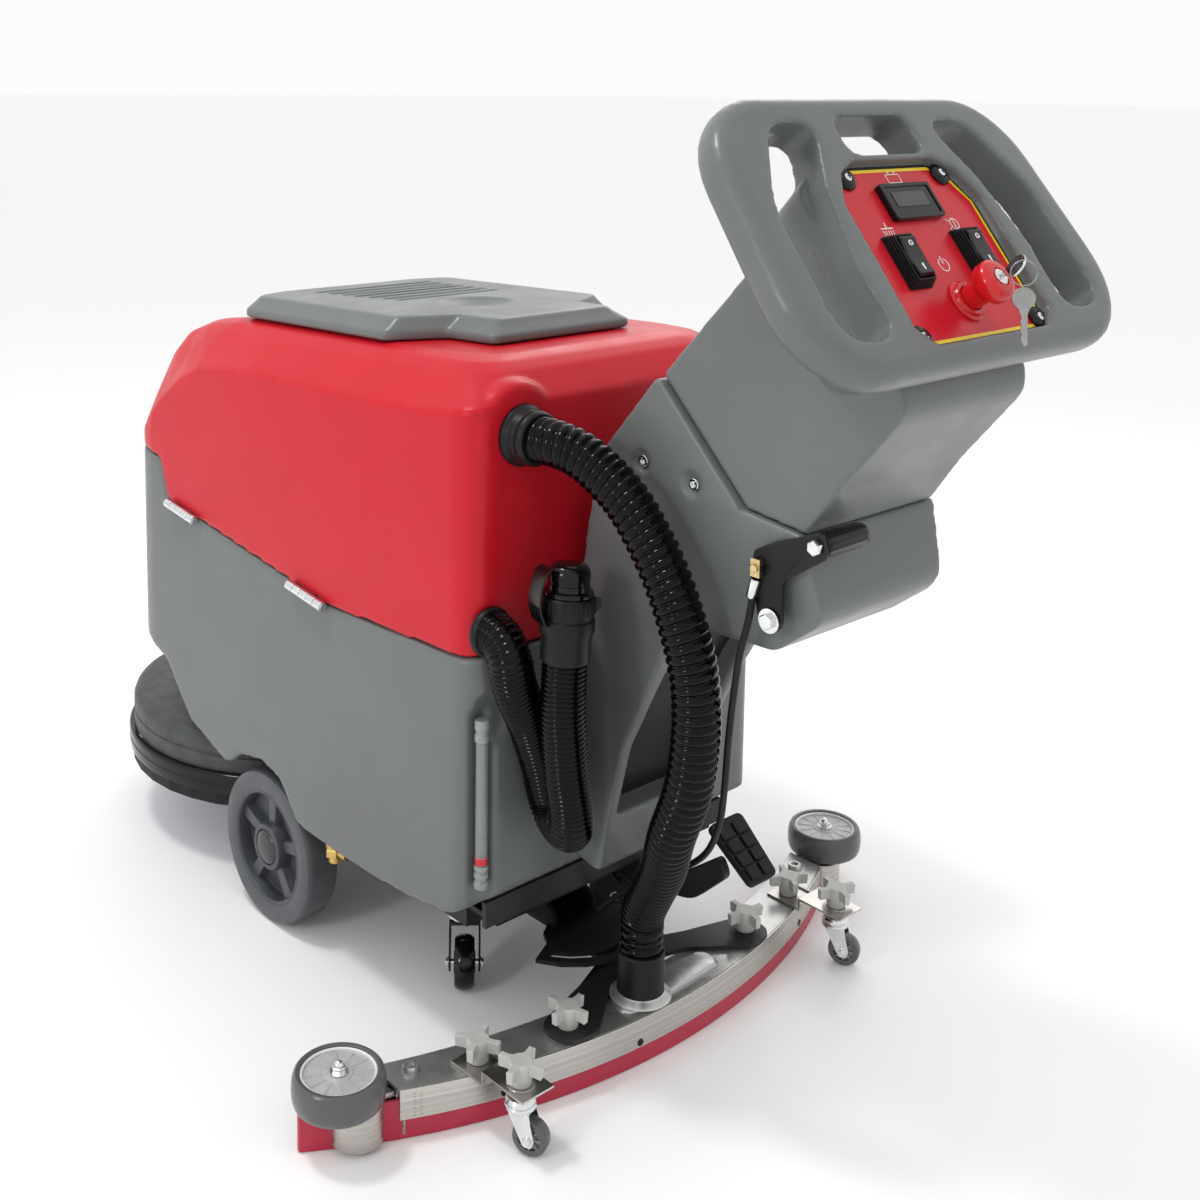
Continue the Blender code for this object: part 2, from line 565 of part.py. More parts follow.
def make_lever():
    """Bent flat bar that lifts the squeegee, its cross grip and the cable that it pulls."""
    foot_z = LEVER_PIVOT[1] - 0.010
    bar = fillet((
        (LEVER_PIVOT[0] - 0.013, foot_z, 0.010), (LEVER_PIVOT[0] + 0.013, foot_z, 0.010),
        (0.712, 0.604, 0.012), (LEVER_GRIP[0] + 0.012, LEVER_GRIP[1] - 0.008, 0.006),
        (LEVER_GRIP[0] + 0.004, LEVER_GRIP[1] + 0.014, 0.006), (0.704, 0.640, 0.008),
        (0.678, 0.626, 0.008), (LEVER_CLEVIS[0] - 0.010, LEVER_CLEVIS[1] - 0.008, 0.006)), 3)
    pivot = (NECK_HALF_WIDTH + 0.0008, *LEVER_PIVOT)
    lever = body_from("lift_lever", prism(bar, pivot[0], pivot[0] + 0.005, "x"), BLACK_STEEL, pivot)
    soften(lever, 0.0008, 1)
    add(lever, cylinder(0.011, (pivot[0] + 0.004, *LEVER_PIVOT), (pivot[0] + 0.0075, *LEVER_PIVOT), 12),
        cylinder(0.0065, (pivot[0] + 0.004, *LEVER_CLEVIS), (pivot[0] + 0.0120, *LEVER_CLEVIS), 10))
    grip = turned(((0, 0), (0.0105, 0.0), (0.0115, 0.003), (0.0115, 0.058), (0.0100, 0.061), (0, 0.061)),
                  (pivot[0] - GAP, *LEVER_GRIP), (-1, 0, 0), 16)
    body_from("lever_grip", grip, BLACK_GLOSS, pivot)


def make_pedal():
    x0, x1 = -0.0610, -0.0500
    arm_outline = fillet((
        (PEDAL_PIVOT[0] - 0.012, PEDAL_PIVOT[1] - 0.011, 0.009), (0.380, 0.112, 0.04), (0.470, 0.130, 0.05),
        (0.520, 0.178, 0.01), (0.508, 0.198, 0.006), (0.455, 0.158, 0.04), (0.380, 0.139, 0.04),
        (PEDAL_PIVOT[0] - 0.012, PEDAL_PIVOT[1] + 0.011, 0.009)), 4)
    pivot = (x0, *PEDAL_PIVOT)
    arm = body_from("pedal_arm", prism(arm_outline, x0, x1, "x"), BLACK_STEEL, pivot)
    soften(arm, 0.0015, 1)
    middle = Vector((-0.066, 0.5270, 0.2060))
    normal = Vector((0.0, 0.62, 0.785)).normalized()
    up = Vector((0.0, -0.785, 0.62)).normalized()

    def ring(half_top, half_bottom, height, lift):
        corners = ((half_bottom, -height, 0.006), (half_top, height, 0.006),
                   (-half_top, height, 0.006), (-half_bottom, -height, 0.006))
        return [middle + Vector((a, 0, 0)) + up * b + normal * lift for a, b in fillet(corners, 2)]
    rings = [ring(0.025, 0.020, 0.037, 0.0), ring(0.027, 0.022, 0.039, 0.003),
             ring(0.027, 0.022, 0.039, 0.009), ring(0.025, 0.020, 0.037, 0.012)]
    body_from("pedal_pad", loft(rings), BLACK_RUBBER, pivot)


# ---------------------------------------------------------------- wheels
def make_drive_wheels():
    half = WHEEL_WIDTH / 2
    outer = WHEEL_RADIUS
    profile = ((AXLE_RADIUS + 0.0006, -half), (0.030, -half), (0.030, -0.008), (0.066, -0.008),
               (0.070, -half), (outer - 0.005, -half), (outer, -half + 0.006), (outer, half - 0.006),
               (outer - 0.005, half),
               (0.070, half), (0.066, 0.006), (0.032, 0.006), (0.028, half), (AXLE_RADIUS + 0.0006, half))
    for name, side in (("left", 1), ("right", -1)):
        centre = (side * (WHEEL_FACE_X - half), 0, WHEEL_RADIUS)
        body_from(f"wheel_{name}", turned(profile, centre, (side, 0, 0), 28), RUBBER_GREY, centre)


def swivel(x, y, turn):
    """Placement of a caster drawn trailing towards +Y from its swivel axis."""
    return Matrix.Translation((x, y, 0)) @ Matrix.Rotation(turn, 4, "Z")


def placed(bm, matrix):
    bmesh.ops.transform(bm, matrix=matrix, verts=bm.verts)
    return bm


def make_rear_casters():
    """Two swivel casters under the rear of the chassis: a folded fork with its bearing, and a wheel."""
    z = CASTER[2]
    radius, trail = CASTER_WHEEL_RADIUS, CASTER_TRAIL
    low = radius - 0.010
    cheek = fillet(((-0.014, z - 0.004, 0), (0.016, z - 0.004, 0.004), (trail + 0.012, low + 0.020, 0.008),
                    (trail + 0.006, low, 0.006), (trail - 0.008, low, 0.006)), 2)
    for name, side in (("left", -1), ("right", 1)):
        place = swivel(-side * CASTER[0], CASTER[1], -CASTER_TURN[name])
        pivot = (-side * CASTER[0], CASTER[1], z)
        top = placed(block(-0.0185, 0.0185, -0.016, 0.020, z - 0.004, z), place)
        fork = body_from(f"caster_fork_{name}", top, BLACK_STEEL, pivot)
        for x0, x1 in ((-0.0185, -0.0160), (0.0160, 0.0185)):
            add(fork, placed(prism(cheek, x0, x1, "x"), place))
        bearing = turned(((0, z - 0.001), (0.021, z - 0.001), (0.0235, z + 0.004), (0.0235, z + 0.009),
                          (0.019, z + 0.0155), (0, z + 0.0155)), sides=20)
        add(fork, placed(bearing, place))
        add(fork, placed(cylinder(0.004, (-0.0225, trail, radius), (0.0225, trail, radius), 8), place))
        wheel = turned(((0.0048, -0.0120), (radius - 0.006, -0.0110), (radius, -0.006), (radius, 0.006),
                        (radius - 0.006, 0.0110), (0.0048, 0.0120)), (0, trail, radius), (1, 0, 0), 20)
        centre = place @ Vector((0, trail, radius))
        body_from(f"caster_wheel_{name}", placed(wheel, place), BLACK_GLOSS, centre)


# ---------------------------------------------------------------- brush deck
def make_deck():
    """Round hood with its splash skirt, gear motor and disc brush, hung level from two lift arms."""
    hub = (0, DECK_Y, 0)
    top = DECK_TOP
    hood = turned(((0.030, top - 0.005), (0.030, top), (0.222, top - 0.001), (0.2320, top - 0.012),
                   (0.2320, 0.138), (DECK_RADIUS, 0.1345), (DECK_RADIUS, 0.1040), (0.2355, 0.1040),
                   (0.2355, 0.1300), (0.2275, 0.1320), (0.2275, top - 0.014), (0.218, top - 0.006)),
                  hub, sides=36)
    body_from("deck_cover", hood, DECK_GREY, hub)
    skirt = turned(((0.2310, 0.0890), (0.2350, 0.0890), (0.2350, 0.1290), (0.2310, 0.1290)), hub, sides=36)
    body_from("deck_skirt", skirt, BLACK_RUBBER, hub)
    case = turned(((0, top + 0.0004), (0.068, top + 0.0004), (0.068, 0.215), (0.060, 0.222),
                   (0.058, 0.306), (0.048, 0.314), (0, 0.314)), hub, sides=24)
    motor = body_from("brush_motor", case, BLACK_STEEL)
    for x0, x1 in ((-0.0480, -0.0440), (0.0440, 0.0480)):
        add(motor, block(x0, x1, -0.225, DECK_HANGER[0] + 0.010, top + 0.006, DECK_HANGER[1] + 0.010))
    bottom = BRUSH_BOTTOM
    brush = turned(((0, 0.146), (0.060, 0.146), (0.064, 0.128), (0.220, 0.124), (0.222, 0.112),
                    (0.2250, bottom + 0.003), (0.2230, bottom), (0.075, bottom), (0.070, 0.112),
                    (0, 0.112)), hub, sides=28)
    body_from("brush", brush, BRISTLE, hub)
    shaft = cylinder(0.0080, (-0.0660, *DECK_PIVOT), (0.0660, *DECK_PIVOT), 12)
    arm = body_from("deck_arm", shaft, BLACK_STEEL, (0, *DECK_PIVOT))
    (rear, rear_z), (front, front_z) = DECK_PIVOT, DECK_HANGER
    reach = fillet(((rear + 0.010, rear_z - 0.010, 0.004), (rear + 0.010, rear_z + 0.010, 0.004),
                    (front - 0.010, front_z + 0.010, 0.004), (front - 0.010, front_z - 0.010, 0.004)), 2)
    for side in (-1, 1):
        near, far = sorted((side * 0.0485, side * 0.0530))
        add(arm, prism(reach, near, far, "x"))


# ---------------------------------------------------------------- squeegee
def arc_strip(half_length, front_inset, rear_inset, low, high, steps):
    """Strip that follows the squeegee's curve. An inset may be a number or a rule of x."""
    def inset(rule, x):
        return rule(x) if callable(rule) else rule
    xs = [half_length * (2 * k / steps - 1) for k in range(steps + 1)]
    front = [(x, squeegee_rear_y(x, inset(front_inset, x))) for x in xs]
    rear = [(x, squeegee_rear_y(x, inset(rear_inset, x))) for x in reversed(xs)]
    return prism(front + rear, low, high)


def body_width(x):
    """Width of the squeegee body: widest in the middle, round the hose port."""
    return 0.062 - 0.018 * (x / SQUEEGEE_HALF_LENGTH) ** 2


def make_squeegee():
    pivot = (0, SWING_Y, 0)
    half, top = SQUEEGEE_HALF_LENGTH, SQUEEGEE_TOP
    casting = arc_strip(half, body_width, 0.0060, 0.0180, top, 24)
    body = body_from("squeegee_body", casting, ALUMINIUM, pivot)
    flange = arc_strip(half, 0.0120, 0.0, 0.0436, top, 24)
    strap = arc_strip(half, 0.0017, 0.0, 0.0220, 0.0460, 24)
    port = fillet(((-0.074, 0.464, 0.010), (0.074, 0.464, 0.010), (0.074, 0.494, 0.010),
                   (-0.074, 0.494, 0.010)), 3)
    add(body, flange, strap, prism(port, top - 0.004, top + 0.0050))
    for side in (-1, 1):
        x, y = side * BUMPER[0], BUMPER[1]
        foot = fillet(((x - side * 0.062, y + 0.024, 0), (x + side * 0.022, y + 0.004, 0.014),
                       (x + side * 0.020, y - 0.024, 0.014), (x - side * 0.062, y - 0.008, 0)), 4)
        add(body, prism(foot, 0.0440, 0.0495))
        add(body, cylinder(0.0048, (x, y, 0.046), (x, y, 0.0900), 10))
    cut(body, arc_strip(half - 0.006, lambda x: body_width(x) - 0.006, 0.0120, 0.0, 0.0480, 16))
    rear = arc_strip(BLADE_HALF_LENGTH, 0.0056, 0.0021, 0.0006, 0.0430, 28)
    body_from("blade_rear", rear, BLADE_RED, pivot)
    front = arc_strip(half, lambda x: body_width(x) + 0.0040, lambda x: body_width(x) + GAP,
                      0.0010, 0.0400, 24)
    body_from("blade_front", front, BLADE_RED, pivot)
    cuff = turned(((0, top + 0.0054), (CUFF_RADIUS - 0.001, top + 0.0054), (CUFF_RADIUS, 0.064),
                   (CUFF_RADIUS, CUFF_TOP - 0.002), (CUFF_RADIUS - 0.002, CUFF_TOP), (0, CUFF_TOP)),
                  (*CUFF, 0), sides=20)
    body_from("hose_cuff", cuff, BLACK_RUBBER, pivot)
    for name, side in (("left", 1), ("right", -1)):
        centre = (side * BUMPER[0], BUMPER[1], 0.0)
        low = 0.0500
        wheel = turned(((0.0053, low), (BUMPER_RADIUS - 0.005, low), (BUMPER_RADIUS, low + 0.007),
                        (BUMPER_RADIUS, low + 0.026), (BUMPER_RADIUS - 0.005, low + 0.033),
                        (0.0400, low + 0.033), (0.0385, low + 0.030), (0.0053, low + 0.032)),
                       centre, sides=24)
        body_from(f"bumper_wheel_{name}", wheel, RUBBER_GREY, centre)
        make_small_caster(name, side)


def star_knob(name, x, y, low, turn):
    """Four-armed clamping knob, its arms and hub cut from one plate."""
    outline = []
    for k in range(4):
        a = turn + k * pi / 2
        for side, out in ((-0.0042, 0.0120), (-0.0036, 0.0240), (0.0036, 0.0240), (0.0042, 0.0120)):
            outline.append((x + out * cos(a) - side * sin(a), y + out * sin(a) + side * cos(a)))
    knob = body_from(name, prism(outline, low + 0.0120, low + 0.0240), KNOB_GREY, (x, y, low))
    hub = ((0, low), (0.0115, low), (0.0125, low + 0.023), (0.0110, low + 0.0245), (0, low + 0.0245))
    add(knob, turned(hub, (x, y, 0), sides=16))


def make_small_caster(name, side):
    """Height-setting caster behind the squeegee on its cranked bracket, and the knobs of that side."""
    x, y = side * SMALL_CASTER[0], SMALL_CASTER[1]
    plate_low, plate_high = SQUEEGEE_TOP + GAP, 0.0690
    profile = ((0.434, plate_low), (0.4845, plate_low), (0.4845, plate_high), (0.545, plate_high),
               (0.545, plate_high + 0.0025), (0.4820, plate_high + 0.0025), (0.4820, plate_low + 0.0025),
               (0.434, plate_low + 0.0025))
    x_knob = side * 0.251
    near, far = sorted((x_knob - side * 0.020, x_knob + side * 0.022))
    body_from(f"squeegee_bracket_{name}", prism(profile, near, far, "x"), STEEL, (x, y, 0))
    place = swivel(x, y, SMALL_TURN)
    top = plate_high - 0.0005
    radius, trail = SMALL_WHEEL_RADIUS, SMALL_TRAIL
    stem = turned(((0, 0.0465), (0.0140, 0.0465), (0.0155, 0.0500), (0.0155, 0.0560), (0.0110, 0.0600),
                   (0.0080, 0.0620), (0.0080, top), (0, top)), sides=16)
    fork = body_from(f"squeegee_fork_{name}", placed(stem, place), CHROME, (x, y, 0.05))
    cheek = ((-0.010, 0.0480), (0.012, 0.0480), (trail + 0.006, radius + 0.002),
             (trail + 0.004, radius - 0.006), (trail - 0.004, radius - 0.006))
    for x0, x1 in ((-0.0110, -0.0092), (0.0092, 0.0110)):
        add(fork, placed(prism(cheek, x0, x1, "x"), place))
    add(fork, placed(block(-0.0110, 0.0110, -0.010, 0.012, 0.0445, 0.0480), place),
        placed(cylinder(0.0028, (-0.0140, trail, radius), (0.0140, trail, radius), 8), place))
    wheel = turned(((0.0036, -0.0075), (radius - 0.003, -0.0075), (radius, -0.0045), (radius, 0.0045),
                    (radius - 0.003, 0.0075), (0.0036, 0.0075)), (0, trail, radius), (1, 0, 0), 18)
    centre = place @ Vector((0, trail, radius))
    body_from(f"squeegee_wheel_{name}", placed(wheel, place), RUBBER_GREY, centre)
    knob_y = squeegee_rear_y(x_knob) - 0.019
    star_knob(f"knob_bracket_{name}", x_knob, knob_y, plate_low + 0.0028, radians(30 * side))
    star_knob(f"knob_height_{name}", x, y, plate_high + 0.0028, radians(20 * side))
    star_knob(f"knob_mount_{name}", side * 0.144, 0.4720, 0.0610, radians(10 * side))


def make_squeegee_mount():
    """Lift plate with its arc slot under the chassis, and the V-shaped bracket that swings below it."""
    low, high = 0.0625, 0.0675
    ear = []
    for k in range(9):
        a = radians(-64 + 16 * k)
        ear.append((0.106 * sin(a), SWING_Y + 0.106 * cos(a)))
    edge = [(0.034, 0.225), (0.034, SWING_Y), (0.052, SWING_Y + 0.012), (0.062, SWING_Y + 0.030)]
    plate = edge + list(reversed(ear)) + [(-x, y) for x, y in reversed(edge)]
    lift = body_from("lift_plate", prism(plate, low, high), BLACK_STEEL, (0, *LIFT_PIVOT))
    slot = []
    sweep = range(-56, 57, 14)
    for radius, angles in ((SLOT_RADIUS + 0.0055, sweep), (SLOT_RADIUS - 0.0055, reversed(sweep))):
        for degrees in angles:
            slot.append((radius * sin(radians(degrees)), SWING_Y + radius * cos(radians(degrees))))
    cut(lift, prism(slot, low - 0.01, high + 0.01))
    pivot_y, pivot_z = LIFT_PIVOT
    cheek = ((0.228, low + 0.001), (0.330, low + 0.001), (0.330, 0.080),
             (pivot_y + 0.012, pivot_z + 0.008), (pivot_y - 0.012, pivot_z + 0.008))
    add(lift, prism(cheek, -0.034, -0.029, "x"), prism(cheek, 0.029, 0.034, "x"),
        cylinder(0.0075, (-0.0388, *LIFT_PIVOT), (0.0388, *LIFT_PIVOT), 12))
    nose = SWING_Y - 0.024
    half = fillet(((0.0, nose, 0), (0.024, nose, 0.020), (0.030, 0.405, 0.02), (0.085, 0.428, 0.03),
                   (0.168, 0.452, 0.020), (0.166, 0.496, 0.020), (0.126, 0.500, 0.020),
                   (0.060, 0.452, 0.04), (0.0, 0.436, 0)), 3)
    plate = prism(mirrored(half), SQUEEGEE_TOP + GAP, 0.0607)
    bracket = body_from("squeegee_bracket", plate, BLACK_STEEL, (0, SWING_Y, 0))
    guide_y = SWING_Y + SLOT_RADIUS
    add(bracket, cylinder(0.0050, (0, guide_y, 0.060), (0, guide_y, 0.0760), 10))


# ---------------------------------------------------------------- hoses
def make_hoses():
    collar = turned(((0, 0.4065), (0.0330, 0.4065), (0.0330, 0.4120), (0.0290, 0.4160), (0.0290, 0.4300),
                     (0.0270, 0.4355), (0, 0.4357)), sides=24)
    bend = Matrix.Translation((0.160, 0, 0.692)) @ Matrix.Rotation(-pi / 2, 4, "X")
    body_from("suction_elbow", placed(collar, bend), BLACK_RUBBER, HINGE_LINE)
    hose("suction_hose", SUCTION_ROUTE, SUCTION_HOSE_RADIUS, BLACK_GLOSS, 0.026)
    hose("drain_hose", DRAIN_ROUTE, DRAIN_HOSE_RADIUS, BLACK_GLOSS, 0.008)
    hose("lift_cable", LIFT_CABLE_ROUTE, LIFT_CABLE_RADIUS, BLACK_RUBBER, 0.021)
    end = Vector(DRAIN_ROUTE[-1])
    lean = (end - Vector(DRAIN_ROUTE[-2])).normalized()
    cuff = turned(((0, 0.0003), (0.0255, 0.0003), (0.0265, 0.003), (0.0285, 0.030), (0.0290, 0.044),
                   (0.0290, 0.068), (0, 0.068)), end, lean, 24)
    body_from("drain_cuff", cuff, BLACK_RUBBER, end)
    cap = turned(((0, 0.0683), (0.0300, 0.0683), (0.0305, 0.072), (0.0300, 0.076), (0.0225, 0.078),
                  (0.0225, 0.092), (0.0190, 0.100), (0, 0.101)), end, lean, 24)
    body_from("drain_cap", cap, BLACK_RUBBER, end)


for old in list(bpy.data.objects):
    bpy.data.objects.remove(old, do_unlink=True)

MACHINE = bpy.data.objects.new("machine", None)
MACHINE.location = (0, FOOTPRINT_SHIFT, 0)
bpy.context.collection.objects.link(MACHINE)
HINGE_LINE = (BODY_HALF_WIDTH + 0.0070, 0.0, split_height(0.0) + 0.0005)

GREY = material("grey_moulding", (0.205, 0.222, 0.216), 0.45)
RED = material("red_moulding", (0.72, 0.030, 0.055), 0.42)
RED_GLOSS = material("red_gloss", (0.62, 0.012, 0.018), 0.25)
BLACK_STEEL = material("black_steel", (0.010, 0.010, 0.011), 0.40, 0.4)
BLACK_PLASTIC = material("black_plastic", (0.018, 0.018, 0.019), 0.50)
BLACK_GLOSS = material("black_gloss", (0.012, 0.012, 0.013), 0.18)
BLACK_RUBBER = material("black_rubber", (0.020, 0.020, 0.021), 0.65)
RUBBER_GREY = material("grey_rubber", (0.085, 0.090, 0.098), 0.50)
DECK_GREY = material("deck_grey", (0.060, 0.063, 0.065), 0.55)
KNOB_GREY = material("knob_grey", (0.50, 0.50, 0.48), 0.50)
BLADE_RED = material("blade_red", (0.48, 0.020, 0.060), 0.45)
BRISTLE = material("bristle", (0.10, 0.14, 0.25), 0.80)
ALUMINIUM = material("aluminium", (0.46, 0.46, 0.45), 0.38, 0.9)
STEEL = material("stainless_steel", (0.60, 0.60, 0.58), 0.25, 1.0)
CHROME = material("chrome", (0.80, 0.80, 0.80), 0.12, 1.0)
BRASS = material("brass", (0.70, 0.48, 0.16), 0.30, 1.0)
CLEAR = material("clear_tube", (0.70, 0.74, 0.74), 0.12)

make_chassis()
make_solution_tank()
make_power_pack()
make_tank_fittings()
make_recovery_tank()
make_lid()
make_column()
make_head()
make_controls()
make_lever()
make_pedal()
make_drive_wheels()
make_rear_casters()
make_deck()
make_squeegee()
make_squeegee_mount()
make_hoses()
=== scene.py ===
"""Looks of the walk-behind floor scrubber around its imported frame.

Sub-parts are laid out from a datum on the floor below the drive axle, as in the CAD, and shifted to the row's
origin as they are made. +X is the machine's left side, +Y its rear and +Z up. All lengths are in metres.
"""
from math import cos, pi, radians, sin, sqrt

import bmesh
import bpy
from mathutils import Matrix, Vector


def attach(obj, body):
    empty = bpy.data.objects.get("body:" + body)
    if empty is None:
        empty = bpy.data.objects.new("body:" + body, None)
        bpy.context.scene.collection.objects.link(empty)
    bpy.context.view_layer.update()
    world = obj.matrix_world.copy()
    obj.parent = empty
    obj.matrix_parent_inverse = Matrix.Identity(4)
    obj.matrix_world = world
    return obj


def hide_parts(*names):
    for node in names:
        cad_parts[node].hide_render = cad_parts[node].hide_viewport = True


# ---------------------------------------------------------------- places that the frame fixes
SHIFT = Vector((0.0, -0.182335, 0.0))
PANEL_ORIGIN = Vector((0.0, 0.7329, 0.9702))
PANEL_TILT = radians(37.7)
PANEL_NORMAL = Vector((0.0, cos(PANEL_TILT), sin(PANEL_TILT)))
PANEL_DOWN = Vector((0.0, sin(PANEL_TILT), -cos(PANEL_TILT)))
PANEL_TURN = Matrix((Vector((1, 0, 0)), PANEL_DOWN, PANEL_NORMAL)).transposed()

WHEEL_RADIUS = 0.0964
WHEEL_HALF = 0.0225
WHEEL_X = 0.2001
DECK_Y = -0.272
CASTER = (0.103, 0.250, 0.0745)
CASTER_TURN = {"left": radians(-40), "right": radians(52)}
SQUEEGEE_RADIUS = 0.780
SQUEEGEE_CENTRE_Y = 0.5116 - SQUEEGEE_RADIUS
SQUEEGEE_TOP = 0.0553
SQUEEGEE_HALF = 0.338
BUMPER = (0.3885, 0.401)
SMALL_CASTER = (0.254, 0.521)
SMALL_TURN = radians(25)
SMALL_AXLE = (0, 0.012, 0.019)

SUCTION_RADIUS = 0.0245
SUCTION_ROUTE = (
    (0.160, 0.4366, 0.692), (0.160, 0.462, 0.692), (0.154, 0.486, 0.686), (0.149, 0.513, 0.672),
    (0.145, 0.545, 0.649), (0.1425, 0.574, 0.616), (0.140, 0.597, 0.580), (0.137, 0.613, 0.543),
    (0.133, 0.623, 0.507), (0.130, 0.628, 0.467), (0.126, 0.624, 0.419), (0.122, 0.612, 0.366),
    (0.113, 0.585, 0.308), (0.084, 0.549, 0.250), (0.059, 0.509, 0.196), (0.044, 0.4835, 0.158),
    (0.042, 0.480, 0.135), (0.042, 0.480, 0.1130),
)
DRAIN_RADIUS = 0.0235
DRAIN_ROUTE = (
    (0.2030, 0.4096, 0.4910), (0.2030, 0.4126, 0.4910), (0.2030, 0.4258, 0.4874), (0.2026, 0.4350, 0.4777),
    (0.2010, 0.4385, 0.4645), (0.1915, 0.4375, 0.4330), (0.1705, 0.4360, 0.3910), (0.1530, 0.4350, 0.3460),
    (0.1430, 0.4345, 0.3120), (0.1400, 0.4370, 0.2960), (0.1405, 0.4460, 0.2850), (0.1440, 0.4610, 0.2810),
    (0.1500, 0.4760, 0.2850), (0.1560, 0.4850, 0.2960), (0.1600, 0.4880, 0.3150), (0.1680, 0.4885, 0.3600),
    (0.1725, 0.4880, 0.4100), (0.1715, 0.4865, 0.4450), (0.1695, 0.4860, 0.4747),
)
SUCTION_ROOT = (0.160, 0, 0.692)
DRAIN_ROOT = (0.203, 0, 0.491)
HOSE_PORT = (0.042, 0.480, 0)
LEVER_PIVOT = (0.1078, 0.700, 0.564)
LEVER_GRIP = (0.1075, 0.7505, 0.646)
VALVE = (0.198, 0.118)
SIGHT_TUBE = (0.2085, 0.4035)
LEFT_AND_RIGHT = (("left", 1), ("right", -1))
MARK_LOW, MARK_HIGH = 0.0021, 0.00245
CABLE_RADIUS = 0.0035
CABLE_ROUTE = (
    (0.1165, 0.684, 0.597), (0.1165, 0.678, 0.560), (0.115, 0.667, 0.520), (0.111, 0.657, 0.470),
    (0.103, 0.646, 0.420), (0.092, 0.634, 0.370), (0.076, 0.615, 0.320), (0.054, 0.580, 0.268),
    (0.030, 0.526, 0.220), (0.018, 0.470, 0.180), (0.015, 0.420, 0.140), (0.015, 0.385, 0.105),
)


# ---------------------------------------------------------------- camera, light and floor
def make_camera():
    yaw, pitch, roll = radians(-131.214), radians(-7.178), radians(0.595)
    forward = Vector((cos(pitch) * cos(yaw), cos(pitch) * sin(yaw), sin(pitch)))
    right = forward.cross(Vector((0, 0, 1))).normalized()
    up = right.cross(forward)
    across = right * cos(roll) + up * sin(roll)
    upright = up * cos(roll) - right * sin(roll)
    data = bpy.data.cameras.new("camera")
    data.sensor_width = 36.0
    data.lens = 45.54
    data.shift_x = 0.0727
    data.shift_y = -0.272
    camera = bpy.data.objects.new("camera", data)
    turn = Matrix((across, upright, -forward)).transposed().to_4x4()
    camera.matrix_world = Matrix.Translation((1.18240, 1.374005, 1.05383)) @ turn
    bpy.context.collection.objects.link(camera)
    bpy.context.scene.camera = camera


def make_light(name, place, target, size, power):
    data = bpy.data.lights.new(name, "AREA")
    data.shape = "RECTANGLE"
    data.size, data.size_y = size
    data.energy = power
    lamp = bpy.data.objects.new(name, data)
    lamp.location = place
    lamp.rotation_euler = (Vector(target) - Vector(place)).to_track_quat("-Z", "Y").to_euler()
    bpy.context.collection.objects.link(lamp)


def make_studio():
    world = bpy.data.worlds.new("studio")
    bpy.context.scene.world = world
    world.use_nodes = True
    world.node_tree.nodes["Background"].inputs["Color"].default_value = (1.0, 1.0, 1.0, 1.0)
    world.node_tree.nodes["Background"].inputs["Strength"].default_value = 0.97
    make_light("key", (1.0, -0.6, 3.2), (0.0, 0.0, 0.5), (0.5, 0.4), 28)
    make_light("side", (3.0, 0.3, 1.6), (0.1, 0.0, 0.5), (0.45, 0.6), 16)
    make_light("back", (-2.2, -1.2, 2.2), (0.0, 0.0, 0.7), (1.6, 1.2), 12)
    bm = bmesh.new()
    bmesh.ops.create_grid(bm, x_segments=1, y_segments=1, size=90.0)
    mesh = bpy.data.meshes.new("floor")
    bm.to_mesh(mesh)
    bm.free()
    floor = bpy.data.objects.new("floor", mesh)
    floor.location.z = -0.0004
    mesh.materials.append(surface("pale_floor", (0.95, 0.95, 0.95), 0.60, mottle=0.0, grain=0.0,
            rough_change=0.0))
    bpy.context.collection.objects.link(floor)
    settings = bpy.context.scene.view_settings
    settings.view_transform = "Standard"
    settings.exposure = 0.0


